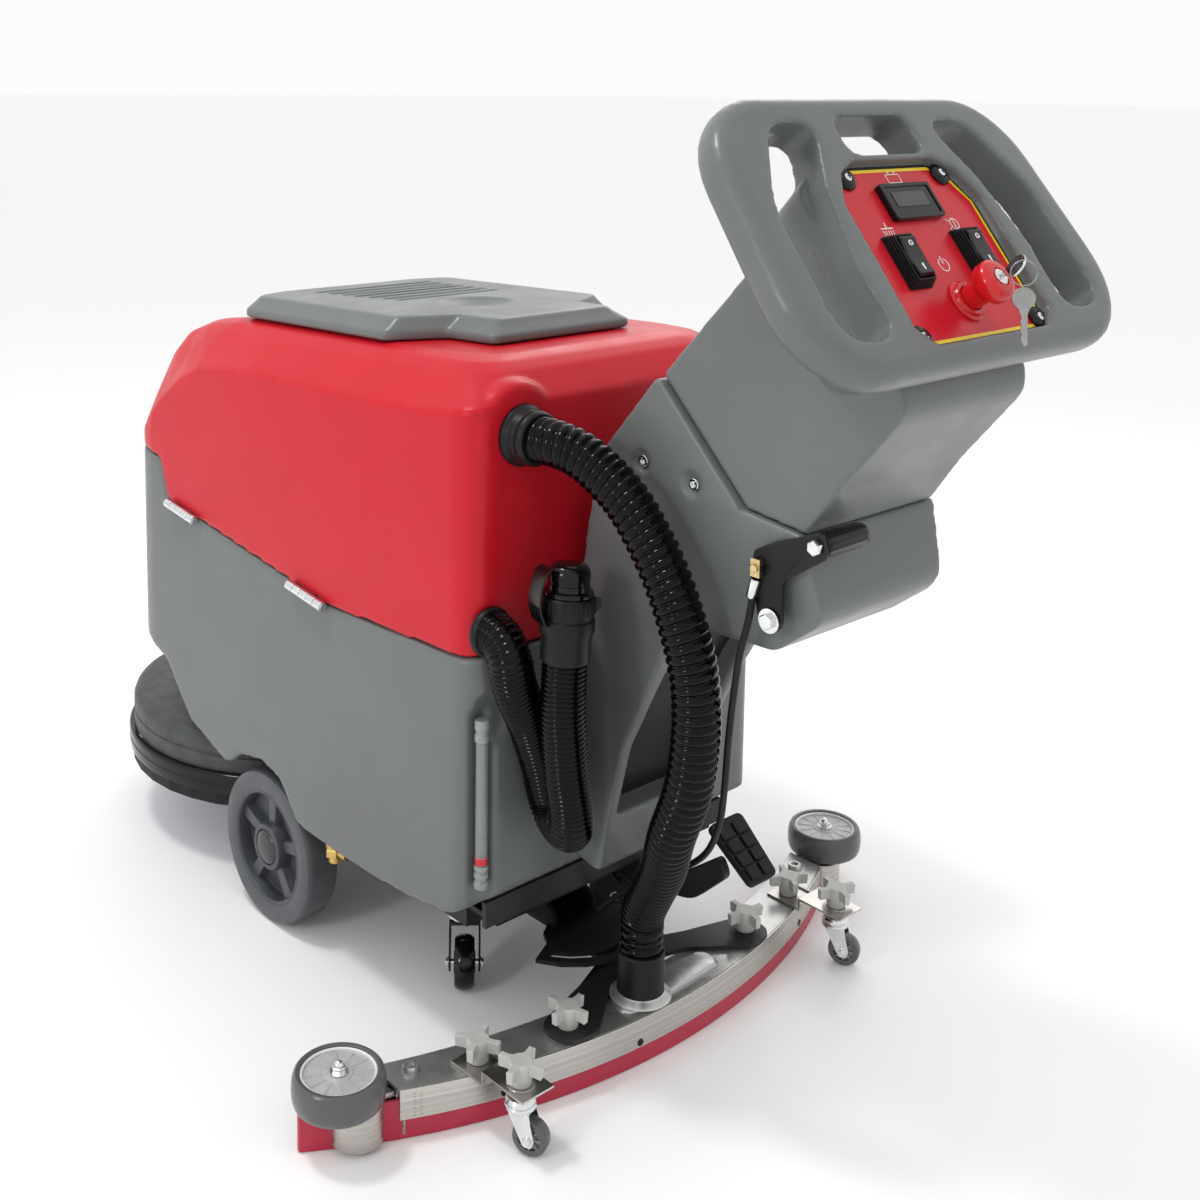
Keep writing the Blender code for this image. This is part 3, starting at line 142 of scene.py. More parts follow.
# ---------------------------------------------------------------- materials
def surface(name, colour, roughness, metallic=0.0, mottle=0.05, mottle_scale=7.0, grain=0.10,
            grain_scale=700.0, rough_change=0.06, wear=0.0, stretch=(1, 1, 1), distance=0.0004, specular=0.5):
    """Moulded, painted or plated finish: patchy colour, uneven gloss, fine grain and lighter worn edges."""
    made = bpy.data.materials.new(name)
    made.use_nodes = True
    nodes, links = made.node_tree.nodes, made.node_tree.links
    shader = nodes["Principled BSDF"]
    shader.inputs["Metallic"].default_value = metallic
    shader.inputs["Specular IOR Level"].default_value = specular
    place = nodes.new("ShaderNodeTexCoord")
    scaled = nodes.new("ShaderNodeMapping")
    scaled.inputs["Scale"].default_value = stretch
    links.new(place.outputs["Object"], scaled.inputs["Vector"])

    def noise(scale, detail):
        node = nodes.new("ShaderNodeTexNoise")
        node.inputs["Scale"].default_value = scale
        node.inputs["Detail"].default_value = detail
        links.new(scaled.outputs["Vector"], node.inputs["Vector"])
        return node.outputs["Fac"]

    def spread(value, low, high, start=0.3, end=0.7):
        node = nodes.new("ShaderNodeMapRange")
        node.inputs["From Min"].default_value = start
        node.inputs["From Max"].default_value = end
        node.inputs["To Min"].default_value = low
        node.inputs["To Max"].default_value = high
        links.new(value, node.inputs["Value"])
        return node.outputs["Result"]

    def mix(fac, a, b):
        node = nodes.new("ShaderNodeMix")
        node.data_type = "RGBA"
        links.new(fac, node.inputs["Factor"])
        for socket, colour_in in ((node.inputs["A"], a), (node.inputs["B"], b)):
            if isinstance(colour_in, tuple):
                socket.default_value = (*colour_in, 1.0)
            else:
                links.new(colour_in, socket)
        return node.outputs["Result"]

    dark = tuple(c * (1 - mottle) for c in colour)
    light = tuple(min(1.0, c * (1 + mottle)) for c in colour)
    shade = mix(spread(noise(mottle_scale, 4.0), 0.0, 1.0), dark, light)
    if wear:
        geometry = nodes.new("ShaderNodeNewGeometry")
        worn = tuple(min(1.0, c * (1 + wear) + 0.02 * wear) for c in colour)
        shade = mix(spread(geometry.outputs["Pointiness"], 0.0, 0.8, 0.52, 0.60), shade, worn)
    links.new(shade, shader.inputs["Base Color"])
    links.new(spread(noise(mottle_scale * 2.3, 3.0), max(0.02, roughness - rough_change),
            roughness + rough_change), shader.inputs["Roughness"])
    bump = nodes.new("ShaderNodeBump")
    bump.inputs["Strength"].default_value = grain
    bump.inputs["Distance"].default_value = distance
    links.new(noise(grain_scale, 2.0), bump.inputs["Height"])
    links.new(bump.outputs["Normal"], shader.inputs["Normal"])
    return made


def clear_plastic(name, colour, roughness):
    made = surface(name, colour, roughness, grain=0.03)
    shader = made.node_tree.nodes["Principled BSDF"]
    shader.inputs["Transmission Weight"].default_value = 0.75
    shader.inputs["IOR"].default_value = 1.35
    return made


# ---------------------------------------------------------------- shapes
def along(points, y):
    """Straight-line interpolation through (y, z) points listed from front to rear."""
    if y <= points[0][0]:
        return points[0][1]
    for (y0, z0), (y1, z1) in zip(points, points[1:]):
        if y <= y1:
            return z0 + (z1 - z0) * (y - y0) / (y1 - y0)
    return points[-1][1]


def mm(*lengths, size=2):
    """Points in metres from a flat list of millimetres, a given number of lengths to each point."""
    return [tuple(length / 1000 for length in lengths[i:i + size]) for i in range(0, len(lengths), size)]


def fillet(corners, steps=4):
    """Outline through (a, b, radius) corners, each turned into an arc of its radius."""
    outline = []
    count = len(corners)
    for i, (a, b, radius) in enumerate(corners):
        here = Vector((a, b))
        if radius == 0.0:
            outline.append(tuple(here))
            continue
        before = (Vector(corners[i - 1][:2]) - here).normalized()
        after = (Vector(corners[(i + 1) % count][:2]) - here).normalized()
        half = before.angle(after) / 2
        centre = here + (before + after).normalized() * radius / sin(half)
        start = here + before * (radius / sin(half) * cos(half)) - centre
        end = here + after * (radius / sin(half) * cos(half)) - centre
        turn = start.angle_signed(end)
        for k in range(steps + 1):
            outline.append(tuple(centre + Matrix.Rotation(-turn * k / steps, 2) @ start))
    return outline


def rounded_box(x0, y0, x1, y1, radius, steps):
    return fillet(((x0, y0, radius), (x1, y0, radius), (x1, y1, radius), (x0, y1, radius)), steps)


def mirrored(half):
    return list(half) + [(-x, y) for x, y in reversed(half) if abs(x) > 1e-6]


def close_up(bm):
    bmesh.ops.remove_doubles(bm, verts=bm.verts, dist=1e-6)
    bmesh.ops.recalc_face_normals(bm, faces=bm.faces)
    return bm


def loft(rings, capped=True):
    bm = bmesh.new()
    rows = [[bm.verts.new(p) for p in ring] for ring in rings]
    for low, high in zip(rows, rows[1:]):
        for i in range(len(low)):
            j = (i + 1) % len(low)
            bm.faces.new((low[i], low[j], high[j], high[i]))
    if capped:
        bm.faces.new(rows[0])
        bm.faces.new(rows[-1])
    return close_up(bm)


def prism(outline, low, high, axis="z"):
    place = {"x": lambda a, b, h: (h, a, b), "y": lambda a, b, h: (a, h, b), "z": lambda a, b, h: (a, b, h)}
    return loft([[place[axis](a, b, h) for a, b in outline] for h in (low, high)])


def block(x0, x1, y0, y1, z0, z1):
    return prism(((x0, y0), (x1, y0), (x1, y1), (x0, y1)), z0, z1)


def turned(profile, centre=(0, 0, 0), axis=(0, 0, 1), sides=48):
    """Round solid from a closed profile of (radius, height) points about an axis."""
    bm = bmesh.new()
    rows = []
    for radius, height in profile:
        if radius < 1e-6:
            rows.append([bm.verts.new((0, 0, height))])
        else:
            rows.append([bm.verts.new((radius * cos(2 * pi * k / sides), radius * sin(2 * pi * k / sides),
                    height)) for k in range(sides)])
    for low, high in zip(rows, rows[1:] + rows[:1]):
        if len(low) == 1 and len(high) == 1:
            continue
        for i in range(sides):
            j = (i + 1) % sides
            ring = [low[i % len(low)], low[j % len(low)], high[j % len(high)], high[i % len(high)]]
            bm.faces.new(list(dict.fromkeys(ring)))
    turn = Vector((0, 0, 1)).rotation_difference(Vector(axis)).to_matrix().to_4x4()
    bmesh.ops.transform(bm, matrix=Matrix.Translation(centre) @ turn, verts=bm.verts)
    return close_up(bm)


def cylinder(radius, start, end, sides=32):
    start, end = Vector(start), Vector(end)
    length = (end - start).length
    return turned(((0, 0), (radius, 0), (radius, length), (0, length)), start, end - start, sides)


def hex_nut(place, axis, across, height, washer=0.0, dome=0.0):
    """Hexagon head or nut on a washer, with an acorn dome on top where one is asked for."""
    parts = []
    radius = across / sqrt(3)
    if washer:
        parts.append(turned(((0, 0), (washer, 0), (washer, 0.0012), (0, 0.0012)), place, axis))
    crown = ((0, 0.0), (radius, 0.0), (radius, height * 0.82), (radius * 0.86, height), (0, height))
    parts.append(turned(crown, place, axis, 6))
    if dome:
        rise = [(dome * cos(a * pi / 12), height + dome * 1.1 * sin(a * pi / 12)) for a in range(7)]
        parts.append(turned([(0, height * 0.5), (dome, height * 0.5)] + rise[:-1] + [(0,
                height + dome * 1.1)], place, axis))
    return parts


def on_panel(u, v, w):
    return PANEL_ORIGIN + Vector((u, 0, 0)) + PANEL_DOWN * v + PANEL_NORMAL * w


def panel_prism(outline, low, high):
    return loft([[on_panel(u, v, w) for u, v in outline] for w in (low, high)])


def placed(bm, matrix):
    bmesh.ops.transform(bm, matrix=matrix, verts=bm.verts)
    return bm


def along_y(root):
    """Placement that lays a solid turned about +Z along +Y through a root."""
    return Matrix.Translation(root) @ Matrix.Rotation(-pi / 2, 4, "X")


def swivel(x, y, turn):
    """Placement of a caster drawn trailing towards +Y from its swivel axis."""
    return Matrix.Translation((x, y, 0)) @ Matrix.Rotation(turn, 4, "Z")


def smooth_route(points, spacing):
    """Points a given distance apart on a smooth curve through a route."""
    route = [Vector(p) for p in points]
    route = [2 * route[0] - route[1]] + route + [2 * route[-1] - route[-2]]
    dense = []
    for a, b, c, d in zip(route, route[1:], route[2:], route[3:]):
        for k in range(20):
            t = k / 20
            dense.append(0.5 * (2 * b + (c - a) * t + (2 * a - 5 * b + 4 * c - d) * t * t +
                    (3 * b - a - 3 * c + d) * t ** 3))
    dense.append(route[-2])
    length = sum((b - a).length for a, b in zip(dense, dense[1:]))
    count = max(2, round(length / spacing))
    picked = [dense[0]]
    walked = 0.0
    for a, b in zip(dense, dense[1:]):
        step = (b - a).length
        while walked + step >= length * len(picked) / count - 1e-9 and len(picked) < count:
            picked.append(a.lerp(b, (length * len(picked) / count - walked) / step))
        walked += step
    return picked + [dense[-1]]


def swept(points, radius_at, sides):
    """Tube along points whose radius is a rule of the distance walked and the angle round it."""
    bm = bmesh.new()
    side = (points[1] - points[0]).orthogonal().normalized()
    rows = []
    walked = 0.0
    for i, point in enumerate(points):
        ahead = (points[min(i + 1, len(points) - 1)] - points[max(i - 1, 0)]).normalized()
        side = (side - ahead * side.dot(ahead)).normalized()
        other = ahead.cross(side)
        if i:
            walked += (point - points[i - 1]).length
        ring = []
        for k in range(sides):
            a = 2 * pi * k / sides
            ring.append(bm.verts.new(point + (side * cos(a) + other * sin(a)) * radius_at(walked, a)))
        rows.append(ring)
    for low, high in zip(rows, rows[1:]):
        for k in range(sides):
            j = (k + 1) % sides
            bm.faces.new((low[k], low[j], high[j], high[k]))
    bm.faces.new(rows[0])
    bm.faces.new(rows[-1])
    return close_up(bm)


# ---------------------------------------------------------------- pieces
def merged(*parts):
    """One mesh out of several shells."""
    whole = bmesh.new()
    for part in parts:
        mesh = bpy.data.meshes.new("part")
        part.to_mesh(mesh)
        part.free()
        whole.from_mesh(mesh)
        bpy.data.meshes.remove(mesh)
    return whole


def piece(name, parts, finish, body, nodes=(), bevel=0.0, segments=2, angle=35):
    """Visible piece laid out from the datum, riding on a body and standing for CAD nodes."""
    bm = merged(*parts) if isinstance(parts, (list, tuple)) else parts
    bmesh.ops.translate(bm, vec=SHIFT, verts=bm.verts)
    mesh = bpy.data.meshes.new(name)
    bm.to_mesh(mesh)
    bm.free()
    mesh.shade_smooth()
    mesh.set_sharp_from_angle(angle=radians(angle))
    mesh.materials.append(finish)
    made = bpy.data.objects.new(name, mesh)
    bpy.context.collection.objects.link(made)
    if bevel:
        modifier = made.modifiers.new("edges", "BEVEL")
        modifier.width = bevel
        modifier.segments = segments
        modifier.limit_method = "ANGLE"
        modifier.angle_limit = radians(32)
        modifier.harden_normals = True
    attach(made, body)
    if nodes:
        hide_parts(*nodes)
    return made


def shaped_mesh(source, cuts, voxel, rounds, adds=()):
    """Rounded mesh of an object with solids cut out of it or added to it."""
    helper = bpy.data.objects.new("helper", source.data.copy())
    bpy.context.collection.objects.link(helper)
    guides = []
    for operation, solids in (("UNION", adds), ("DIFFERENCE", cuts)):
        for solid in solids:
            bmesh.ops.translate(solid, vec=SHIFT, verts=solid.verts)
            mesh = bpy.data.meshes.new("guide")
            solid.to_mesh(mesh)
            solid.free()
            guide = bpy.data.objects.new("guide", mesh)
            bpy.context.collection.objects.link(guide)
            guides.append(guide)
            modifier = helper.modifiers.new("shape", "BOOLEAN")
            modifier.operation = operation
            modifier.object = guide
    remesh = helper.modifiers.new("remesh", "REMESH")
    remesh.mode = "VOXEL"
    remesh.voxel_size = voxel
    relax = helper.modifiers.new("relax", "SMOOTH")
    relax.factor = 0.5
    relax.iterations = rounds
    shaped = helper.evaluated_get(bpy.context.evaluated_depsgraph_get())
    mesh = bpy.data.meshes.new_from_object(shaped)
    for spare in guides + [helper]:
        bpy.data.objects.remove(spare)
    return mesh


def finished(name, mesh, finish, body, node):
    mesh.name = name
    mesh.shade_smooth()
    mesh.materials.clear()
    mesh.materials.append(finish)
    made = bpy.data.objects.new(name, mesh)
    bpy.context.collection.objects.link(made)
    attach(made, body)
    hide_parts(node)
    return made


def moulded(name, node, finish, body, voxel=0.004, rounds=8, cuts=(), adds=()):
    """Soft-edged moulding: the CAD node's own shape, with details cut in or added, then rounded all over."""
    return finished(name, shaped_mesh(bpy.data.objects[node], cuts, voxel, rounds, adds), finish, body, node)


def coat(finish, *nodes):
    """New material on CAD nodes whose shape stays as it is."""
    for node in nodes:
        mesh = bpy.data.objects[node].data
        mesh.materials.clear()
        mesh.materials.append(finish)


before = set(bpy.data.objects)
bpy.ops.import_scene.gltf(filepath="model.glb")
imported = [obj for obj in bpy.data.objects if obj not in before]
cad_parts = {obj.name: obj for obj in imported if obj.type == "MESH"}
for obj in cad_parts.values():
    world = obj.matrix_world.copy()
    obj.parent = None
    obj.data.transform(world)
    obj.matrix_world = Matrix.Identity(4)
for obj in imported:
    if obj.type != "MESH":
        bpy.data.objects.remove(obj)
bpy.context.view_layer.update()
make_camera()

GREY = surface("grey_moulded_plastic", (0.128, 0.140, 0.137), 0.32, mottle=0.05, grain=0.16, grain_scale=520,
        wear=0.25, specular=0.34)
RED = surface("red_moulded_plastic", (0.520, 0.0075, 0.018), 0.34, mottle=0.05, grain=0.20, grain_scale=460,
        wear=0.10, specular=0.24)
RED_GLOSS = surface("red_gloss_plastic", (0.56, 0.008, 0.012), 0.22, mottle=0.03, grain=0.02)
RED_PANEL = surface("red_panel_film", (0.56, 0.012, 0.024), 0.26, mottle=0.03, grain=0.04, grain_scale=1500,
        specular=0.3)
YELLOW = surface("yellow_line", (0.80, 0.60, 0.010), 0.30, mottle=0.04, grain=0.02)
WHITE = surface("white_mark", (0.80, 0.80, 0.78), 0.40, mottle=0.03, grain=0.02)
BLACK_STEEL = surface("black_powder_coat", (0.006, 0.006, 0.007), 0.36, mottle=0.25, grain=0.25,
        grain_scale=900, wear=1.0, specular=0.22)
BLACK_PLASTIC = surface("black_moulded_plastic", (0.007, 0.007, 0.008), 0.40, mottle=0.20, grain=0.18,
        specular=0.22)
BLACK_GLOSS = surface("black_glossy_plastic", (0.004, 0.004, 0.0045), 0.13, mottle=0.30, grain=0.04,
        rough_change=0.05, specular=0.30)
HOSE_BLACK = surface("black_hose", (0.0015, 0.0015, 0.002), 0.10, mottle=0.20, mottle_scale=30, grain=0.04,
        grain_scale=300, rough_change=0.07, specular=0.16)
BLACK_RUBBER = surface("black_rubber", (0.008, 0.008, 0.009), 0.55, mottle=0.25, mottle_scale=22, grain=0.22,
        specular=0.25)
TYRE_GREY = surface("grey_tyre", (0.058, 0.063, 0.070), 0.45, mottle=0.12, mottle_scale=25, grain=0.20,
        wear=0.4)
RUBBER_GREY = surface("grey_polyurethane", (0.080, 0.084, 0.088), 0.22, mottle=0.10, mottle_scale=30,
        grain=0.06)
HUB_GREY = surface("grey_hub", (0.30, 0.31, 0.32), 0.34, mottle=0.08, mottle_scale=60, grain=0.10)
DECK_GREY = surface("deck_plastic", (0.040, 0.044, 0.047), 0.50, mottle=0.30, mottle_scale=35, grain=0.45,
        grain_scale=320)
KNOB_GREY = surface("knob_plastic", (0.44, 0.44, 0.42), 0.40, mottle=0.05, mottle_scale=60, grain=0.12,
        wear=0.2)
BLADE_RED = surface("crimson_blade", (0.40, 0.012, 0.042), 0.34, mottle=0.07, mottle_scale=18, grain=0.06,
        stretch=(1, 1, 8))
BRISTLE = surface("bristle", (0.055, 0.080, 0.15), 0.75, mottle=0.5, mottle_scale=260, grain=0.9,
        grain_scale=420, stretch=(1, 1, 0.08), distance=0.002)
SILVER = surface("silver_painted_casting", (0.43, 0.43, 0.42), 0.30, metallic=0.80, mottle=0.10,
        mottle_scale=22, grain=0.14, grain_scale=420, wear=0.3)
STAINLESS = surface("brushed_stainless", (0.52, 0.50, 0.47), 0.27, metallic=1.0, mottle=0.16, mottle_scale=14,
        grain=0.30, grain_scale=160, stretch=(0.05, 0.05, 14))
CHROME = surface("bright_zinc", (0.72, 0.73, 0.74), 0.15, metallic=1.0, mottle=0.08, mottle_scale=60,
        grain=0.05)
KEY_STEEL = surface("key_steel", (0.36, 0.36, 0.35), 0.30, metallic=1.0, mottle=0.12, mottle_scale=80,
        grain=0.06)
YELLOW_ZINC = surface("yellow_zinc", (0.58, 0.46, 0.24), 0.26, metallic=1.0, mottle=0.15, mottle_scale=80,
        grain=0.05)
BRASS = surface("machined_brass", (0.62, 0.42, 0.14), 0.28, metallic=1.0, mottle=0.15, mottle_scale=60,
        grain=0.08)
SCREEN = surface("meter_glass", (0.028, 0.034, 0.030), 0.10, mottle=0.10, grain=0.01)
CLEAR = clear_plastic("clear_tube", (0.62, 0.66, 0.66), 0.08)
CLEAR_GREY = surface("translucent_fitting", (0.24, 0.26, 0.26), 0.22, mottle=0.08, mottle_scale=60,
        grain=0.05)
WHEEL_CORE = surface("wheel_core", (0.040, 0.044, 0.050), 0.38, mottle=0.12, mottle_scale=40, grain=0.15,
        wear=0.6)
BLACK_CAP = surface("hub_cap", (0.030, 0.033, 0.037), 0.22, mottle=0.10, mottle_scale=40, grain=0.04)
HUB_LIGHT = surface("light_hub", (0.42, 0.43, 0.44), 0.34, mottle=0.10, mottle_scale=70, grain=0.12,
        grain_scale=300)
METER_SEGMENT = surface("meter_segment", (0.055, 0.065, 0.058), 0.20, mottle=0.05, grain=0.01)

make_studio()

# ---------------------------------------------------------------- hoses and cable
def rib(pitch, depth, radius, turns=1.0):
    """Rule for a ribbed hose: round crests that wind round it, with narrow valleys between them."""
    def radius_at(walked, a):
        wave = abs(sin(pi * (walked / pitch - turns * a / (2 * pi))))
        return radius - depth * (1 - wave ** 0.7)
    return radius_at


def make_hoses():
    """Ribbed hoses and the lever's smooth cable."""
    for node, route, radius, pitch, depth, step, body, far_end, on_it in (
            ("suction_hose", SUCTION_ROUTE, SUCTION_RADIUS, 0.0098, 0.0038, 0.00098, "machine", "object", ()),
            ("drain_hose", DRAIN_ROUTE, DRAIN_RADIUS, 0.0050, 0.0022, 0.00062, "upper_tank", "fitting",
             ("drain_cuff_detailed", "drain_cap_detailed"))):
        points = smooth_route(route, step)
        tube = swept(points, rib(pitch, depth, radius), 36)
        made = piece(f"{node}_ribbed", tube, HOSE_BLACK, body, (node,), angle=180)
    points = smooth_route(CABLE_ROUTE, 0.006)
    made = piece("lift_cable_sheath", swept(points, lambda s, a: CABLE_RADIUS, 16), BLACK_RUBBER, "machine",
            ("lift_cable",), angle=180)


def make_drain_end():
    """Cuff of the drain hose with its ribbed collar and strap, and the plug that lifts out of it."""
    end = Vector(DRAIN_ROUTE[-1])
    lean = (end - Vector(DRAIN_ROUTE[-2])).normalized()
    cuff = turned(mm(0, 0.3, 24, 0.3, 25.2, 1.5, 25.7, 4, 25.7, 26, 26.8, 29, 28, 32, 28.5, 36, 28.5, 44,
            26.8, 45.5, 26.8, 49, 27.8, 50.5, 27.8, 66, 27, 68, 0, 68), end, lean, 48)
    outwards = Vector((0.97, -0.25, 0))
    out = (outwards - lean * lean.dot(outwards)).normalized()
    other = lean.cross(out)
    parts = [cuff]
    for k in range(20):
        a = 2 * pi * k / 20
        foot = end + (out * cos(a) + other * sin(a)) * 0.0275
        parts.append(cylinder(0.0012, foot + lean * 0.052, foot + lean * 0.066, 8))
    piece("drain_cuff_detailed", parts, BLACK_PLASTIC, "upper_tank", ("drain_cuff",))
    bend = smooth_route(mm(23.6, 0, 98.5, 29, 0, 96, 34.5, 0, 85, 37, 0, 69, 36, 0, 56, 31.5, 0, 45, 27.5, 0,
            40, size=3), 0.003)
    section = mm(0, -12.5, 2.2, -12.5, 2.2, 12.5, 0, 12.5)
    strap = [[end + out * (p.x + thick) + other * width + lean * p.z for thick,
            width in section] for p in bend]
    plate = mm(26, 46, 37, 52, 37, 62, 26, 64)
    lug = [[end - out * r + other * width + lean * h for r, h in plate] for width in (-0.004, 0.004)]
    piece("drain_strap", [loft(strap), loft(lug)], BLACK_GLOSS, "upper_tank", bevel=0.0006)
    cap = turned(mm(0, 68.3, 25.5, 68.3, 26.2, 70, 25.5, 73.5, 21.8, 74.5, 21.8, 80, 21, 80.6, 21, 83, 21.8,
            83.6, 21.8, 90, 20.5, 96, 17, 99.5, 10, 100.8, 0, 101), end, lean, 48)
    piece("drain_cap_detailed", [cap], BLACK_GLOSS, "drain_plug", ("drain_cap",))


make_drain_end()
make_hoses()

# ---------------------------------------------------------------- tanks
def split_height(y):
    line = along(mm(-345, 512.2, 151, 452.5, 408, 463), y)
    return line + (0.049 if y < -0.237 else 0.0)


def make_tanks():
    boss = turned(mm(0, 340, 58, 340, 56.5, 396, 53, 403.5, 47, 406.2, 0, 406.2))
    hood = placed(boss, along_y(SUCTION_ROOT))
    moulded("recovery_tank_moulded", "recovery_tank", RED, "upper_tank", 0.0038, 4, adds=[hood])
    pocket = cylinder(0.031, (0.2045, 0.399, 0.392), (0.2045, 0.43, 0.392), 40)
    moulded("solution_tank_moulded", "solution_tank", GREY, "machine", 0.0042, 5, cuts=[pocket])
    parts = []
    for x in (-0.093, 0.093):
        for y in (0.060, 0.315):
            parts += hex_nut((x, y, 0.412), (0, 0, 1), 0.010, 0.005, 0.009)
    piece("battery_terminal_nuts", parts, CHROME, "machine")


def lid_outline(inset=0.0):
    front, rear, side = inset - 0.150, 0.300 - inset, 0.176 - inset
    corners = ((0.0, front, 0), (0.128 - inset, front, 0.022), (side, -0.112, 0.022), (side, 0.186, 0.014))
    corners += ((0.112 - inset, 0.222, 0.012), (0.107 - inset, rear, 0.010), (0.0, rear, 0))
    return mirrored(fillet(corners, 5))


def make_lid():
    """Lid with its skirt step, sloping sides, seven cross grooves and a round finger dish."""
    slope, seat = 0.030, 0.7580
    steps = mm(4, -2.2, 0, 0.2, 0, 8.5, 12.5, 18, 18.5, 23.6, 23, 24.7)
    shell = loft([[(x, y, seat + slope * y + rise) for x, y in lid_outline(inset)] for inset, rise in steps])
    cuts = []
    for k in range(7):
        y = -0.082 + 0.0235 * k
        low = 0.7768 + slope * y
        bottom, mouth, top = 0.0058, 0.0068, 0.80
        groove = fillet(((y - bottom, low, 0.0020), (y + bottom, low, 0.0020), (y + mouth, top, 0),
                (y - mouth, top, 0)), 3)
        cuts.append(prism(groove, -0.100, 0.086 - 0.004 * k, "x"))
    dish = turned(mm(0, 773.5, 24, 774.2, 42, 779, 52, 785, 56, 820, 0, 820), (0.0, 0.135, 0.0045))
    raw = piece("lid_raw", shell, GREY, "tank_lid")
    mesh = shaped_mesh(raw, cuts + [dish], voxel=0.0023, rounds=4)
    bpy.data.objects.remove(raw)
    finished("lid_moulded", mesh, GREY, "tank_lid", "lid")


# ---------------------------------------------------------------- column, head and controls
def make_column():
    """Rear column with four sunk socket bolts and the open recess at its back, lined with a black plate that
    partly paints the recess's shade.
    """
    seats = ((0.526, 0.679), (0.594, 0.669))
    sink = mm(0, -6, 8.5, -6, 14, 1, 15, 10, 0, 10)
    bolt = mm(0, 0, 6.2, 0, 6.2, 5.2, 5.6, 6, 3.4, 6, 3.4, 3, 0, 3)
    sinks = [turned(sink, (side * 0.1065, y, z), (side, 0, 0)) for side in (1, -1) for y, z in seats]
    parts = [turned(bolt, (side * 0.0985, y, z), (side, 0, 0)) for y, z in seats for side in (1, -1)]
    recess = prism(mm(430, 268, 475, 262, 620, 262, 620, 503, 533, 503, 489, 432, 450, 352), -0.062, 0.062,
            "x")
    moulded("column_moulded", "column_housing", GREY, "machine", 0.0028, 6, cuts=sinks + [recess])
    # Black plate at the bottom of the recess: a backing plate whose black also paints the shade inside the
    # recess.
    recess_shade_backing = prism(mm(432, 270, 436, 270, 456, 352, 495, 430, 538, 501, 530, 501, 487, 432, 448, 353),
            -0.060, 0.060, "x")
    piece("column_recess_shade_plate", recess_shade_backing, BLACK_PLASTIC, "machine", bevel=0.0006)
    piece("column_socket_bolts", parts, CHROME, "machine", bevel=0.0004)


def panel_outline(inset):
    half = ((0.0, -0.011 + inset), (0.060, -0.011 + inset), (0.086 - inset, 0.000 + inset * 0.6),
            (0.105 - inset, 0.033), (0.105 - inset, 0.156), (0.086 - inset * 0.6, 0.173 - inset),
            (0.0, 0.173 - inset))
    return mirrored(half)


def outline_strip(outer, inner, low, high):
    """Closed flat strip on the panel between two outlines of the same number of points."""
    rings = [[on_panel(u, v, w) for u, v in outline] for outline, w in ((outer, low), (outer, high),
            (inner, high), (inner, low))]
    bm = bmesh.new()
    rows = [[bm.verts.new(p) for p in ring] for ring in rings]
    count = len(outer)
    for a, b in zip(rows, rows[1:] + rows[:1]):
        for i in range(count):
            j = (i + 1) % count
            bm.faces.new((a[i], a[j], b[j], b[i]))
    return close_up(bm)


def ring_mark(u, v, radius, width, start=0, end=360):
    """Printed arc on the panel."""
    parts = []
    steps = max(6, int((end - start) / 15))
    rim = [radians(start + (end - start) * k / steps) for k in range(steps + 1)]
    outer = [(u + (radius + width / 2) * sin(a), v - (radius + width / 2) * cos(a)) for a in rim]
    inner = [(u + (radius - width / 2) * sin(a), v - (radius - width / 2) * cos(a)) for a in rim]
    for k in range(steps):
        parts.append(panel_prism((outer[k], outer[k + 1], inner[k + 1], inner[k]), MARK_LOW, MARK_HIGH))
    return parts


def bar_mark(u0, v0, u1, v1, width):
    """Printed bar on the panel."""
    a, b = Vector((u0, v0)), Vector((u1, v1))
    half = (b - a).normalized() * 0.5 * width
    across = Vector((-half.y, half.x))
    return panel_prism([tuple(p) for p in (a + across, b + across, b - across, a - across)], MARK_LOW,
            MARK_HIGH)


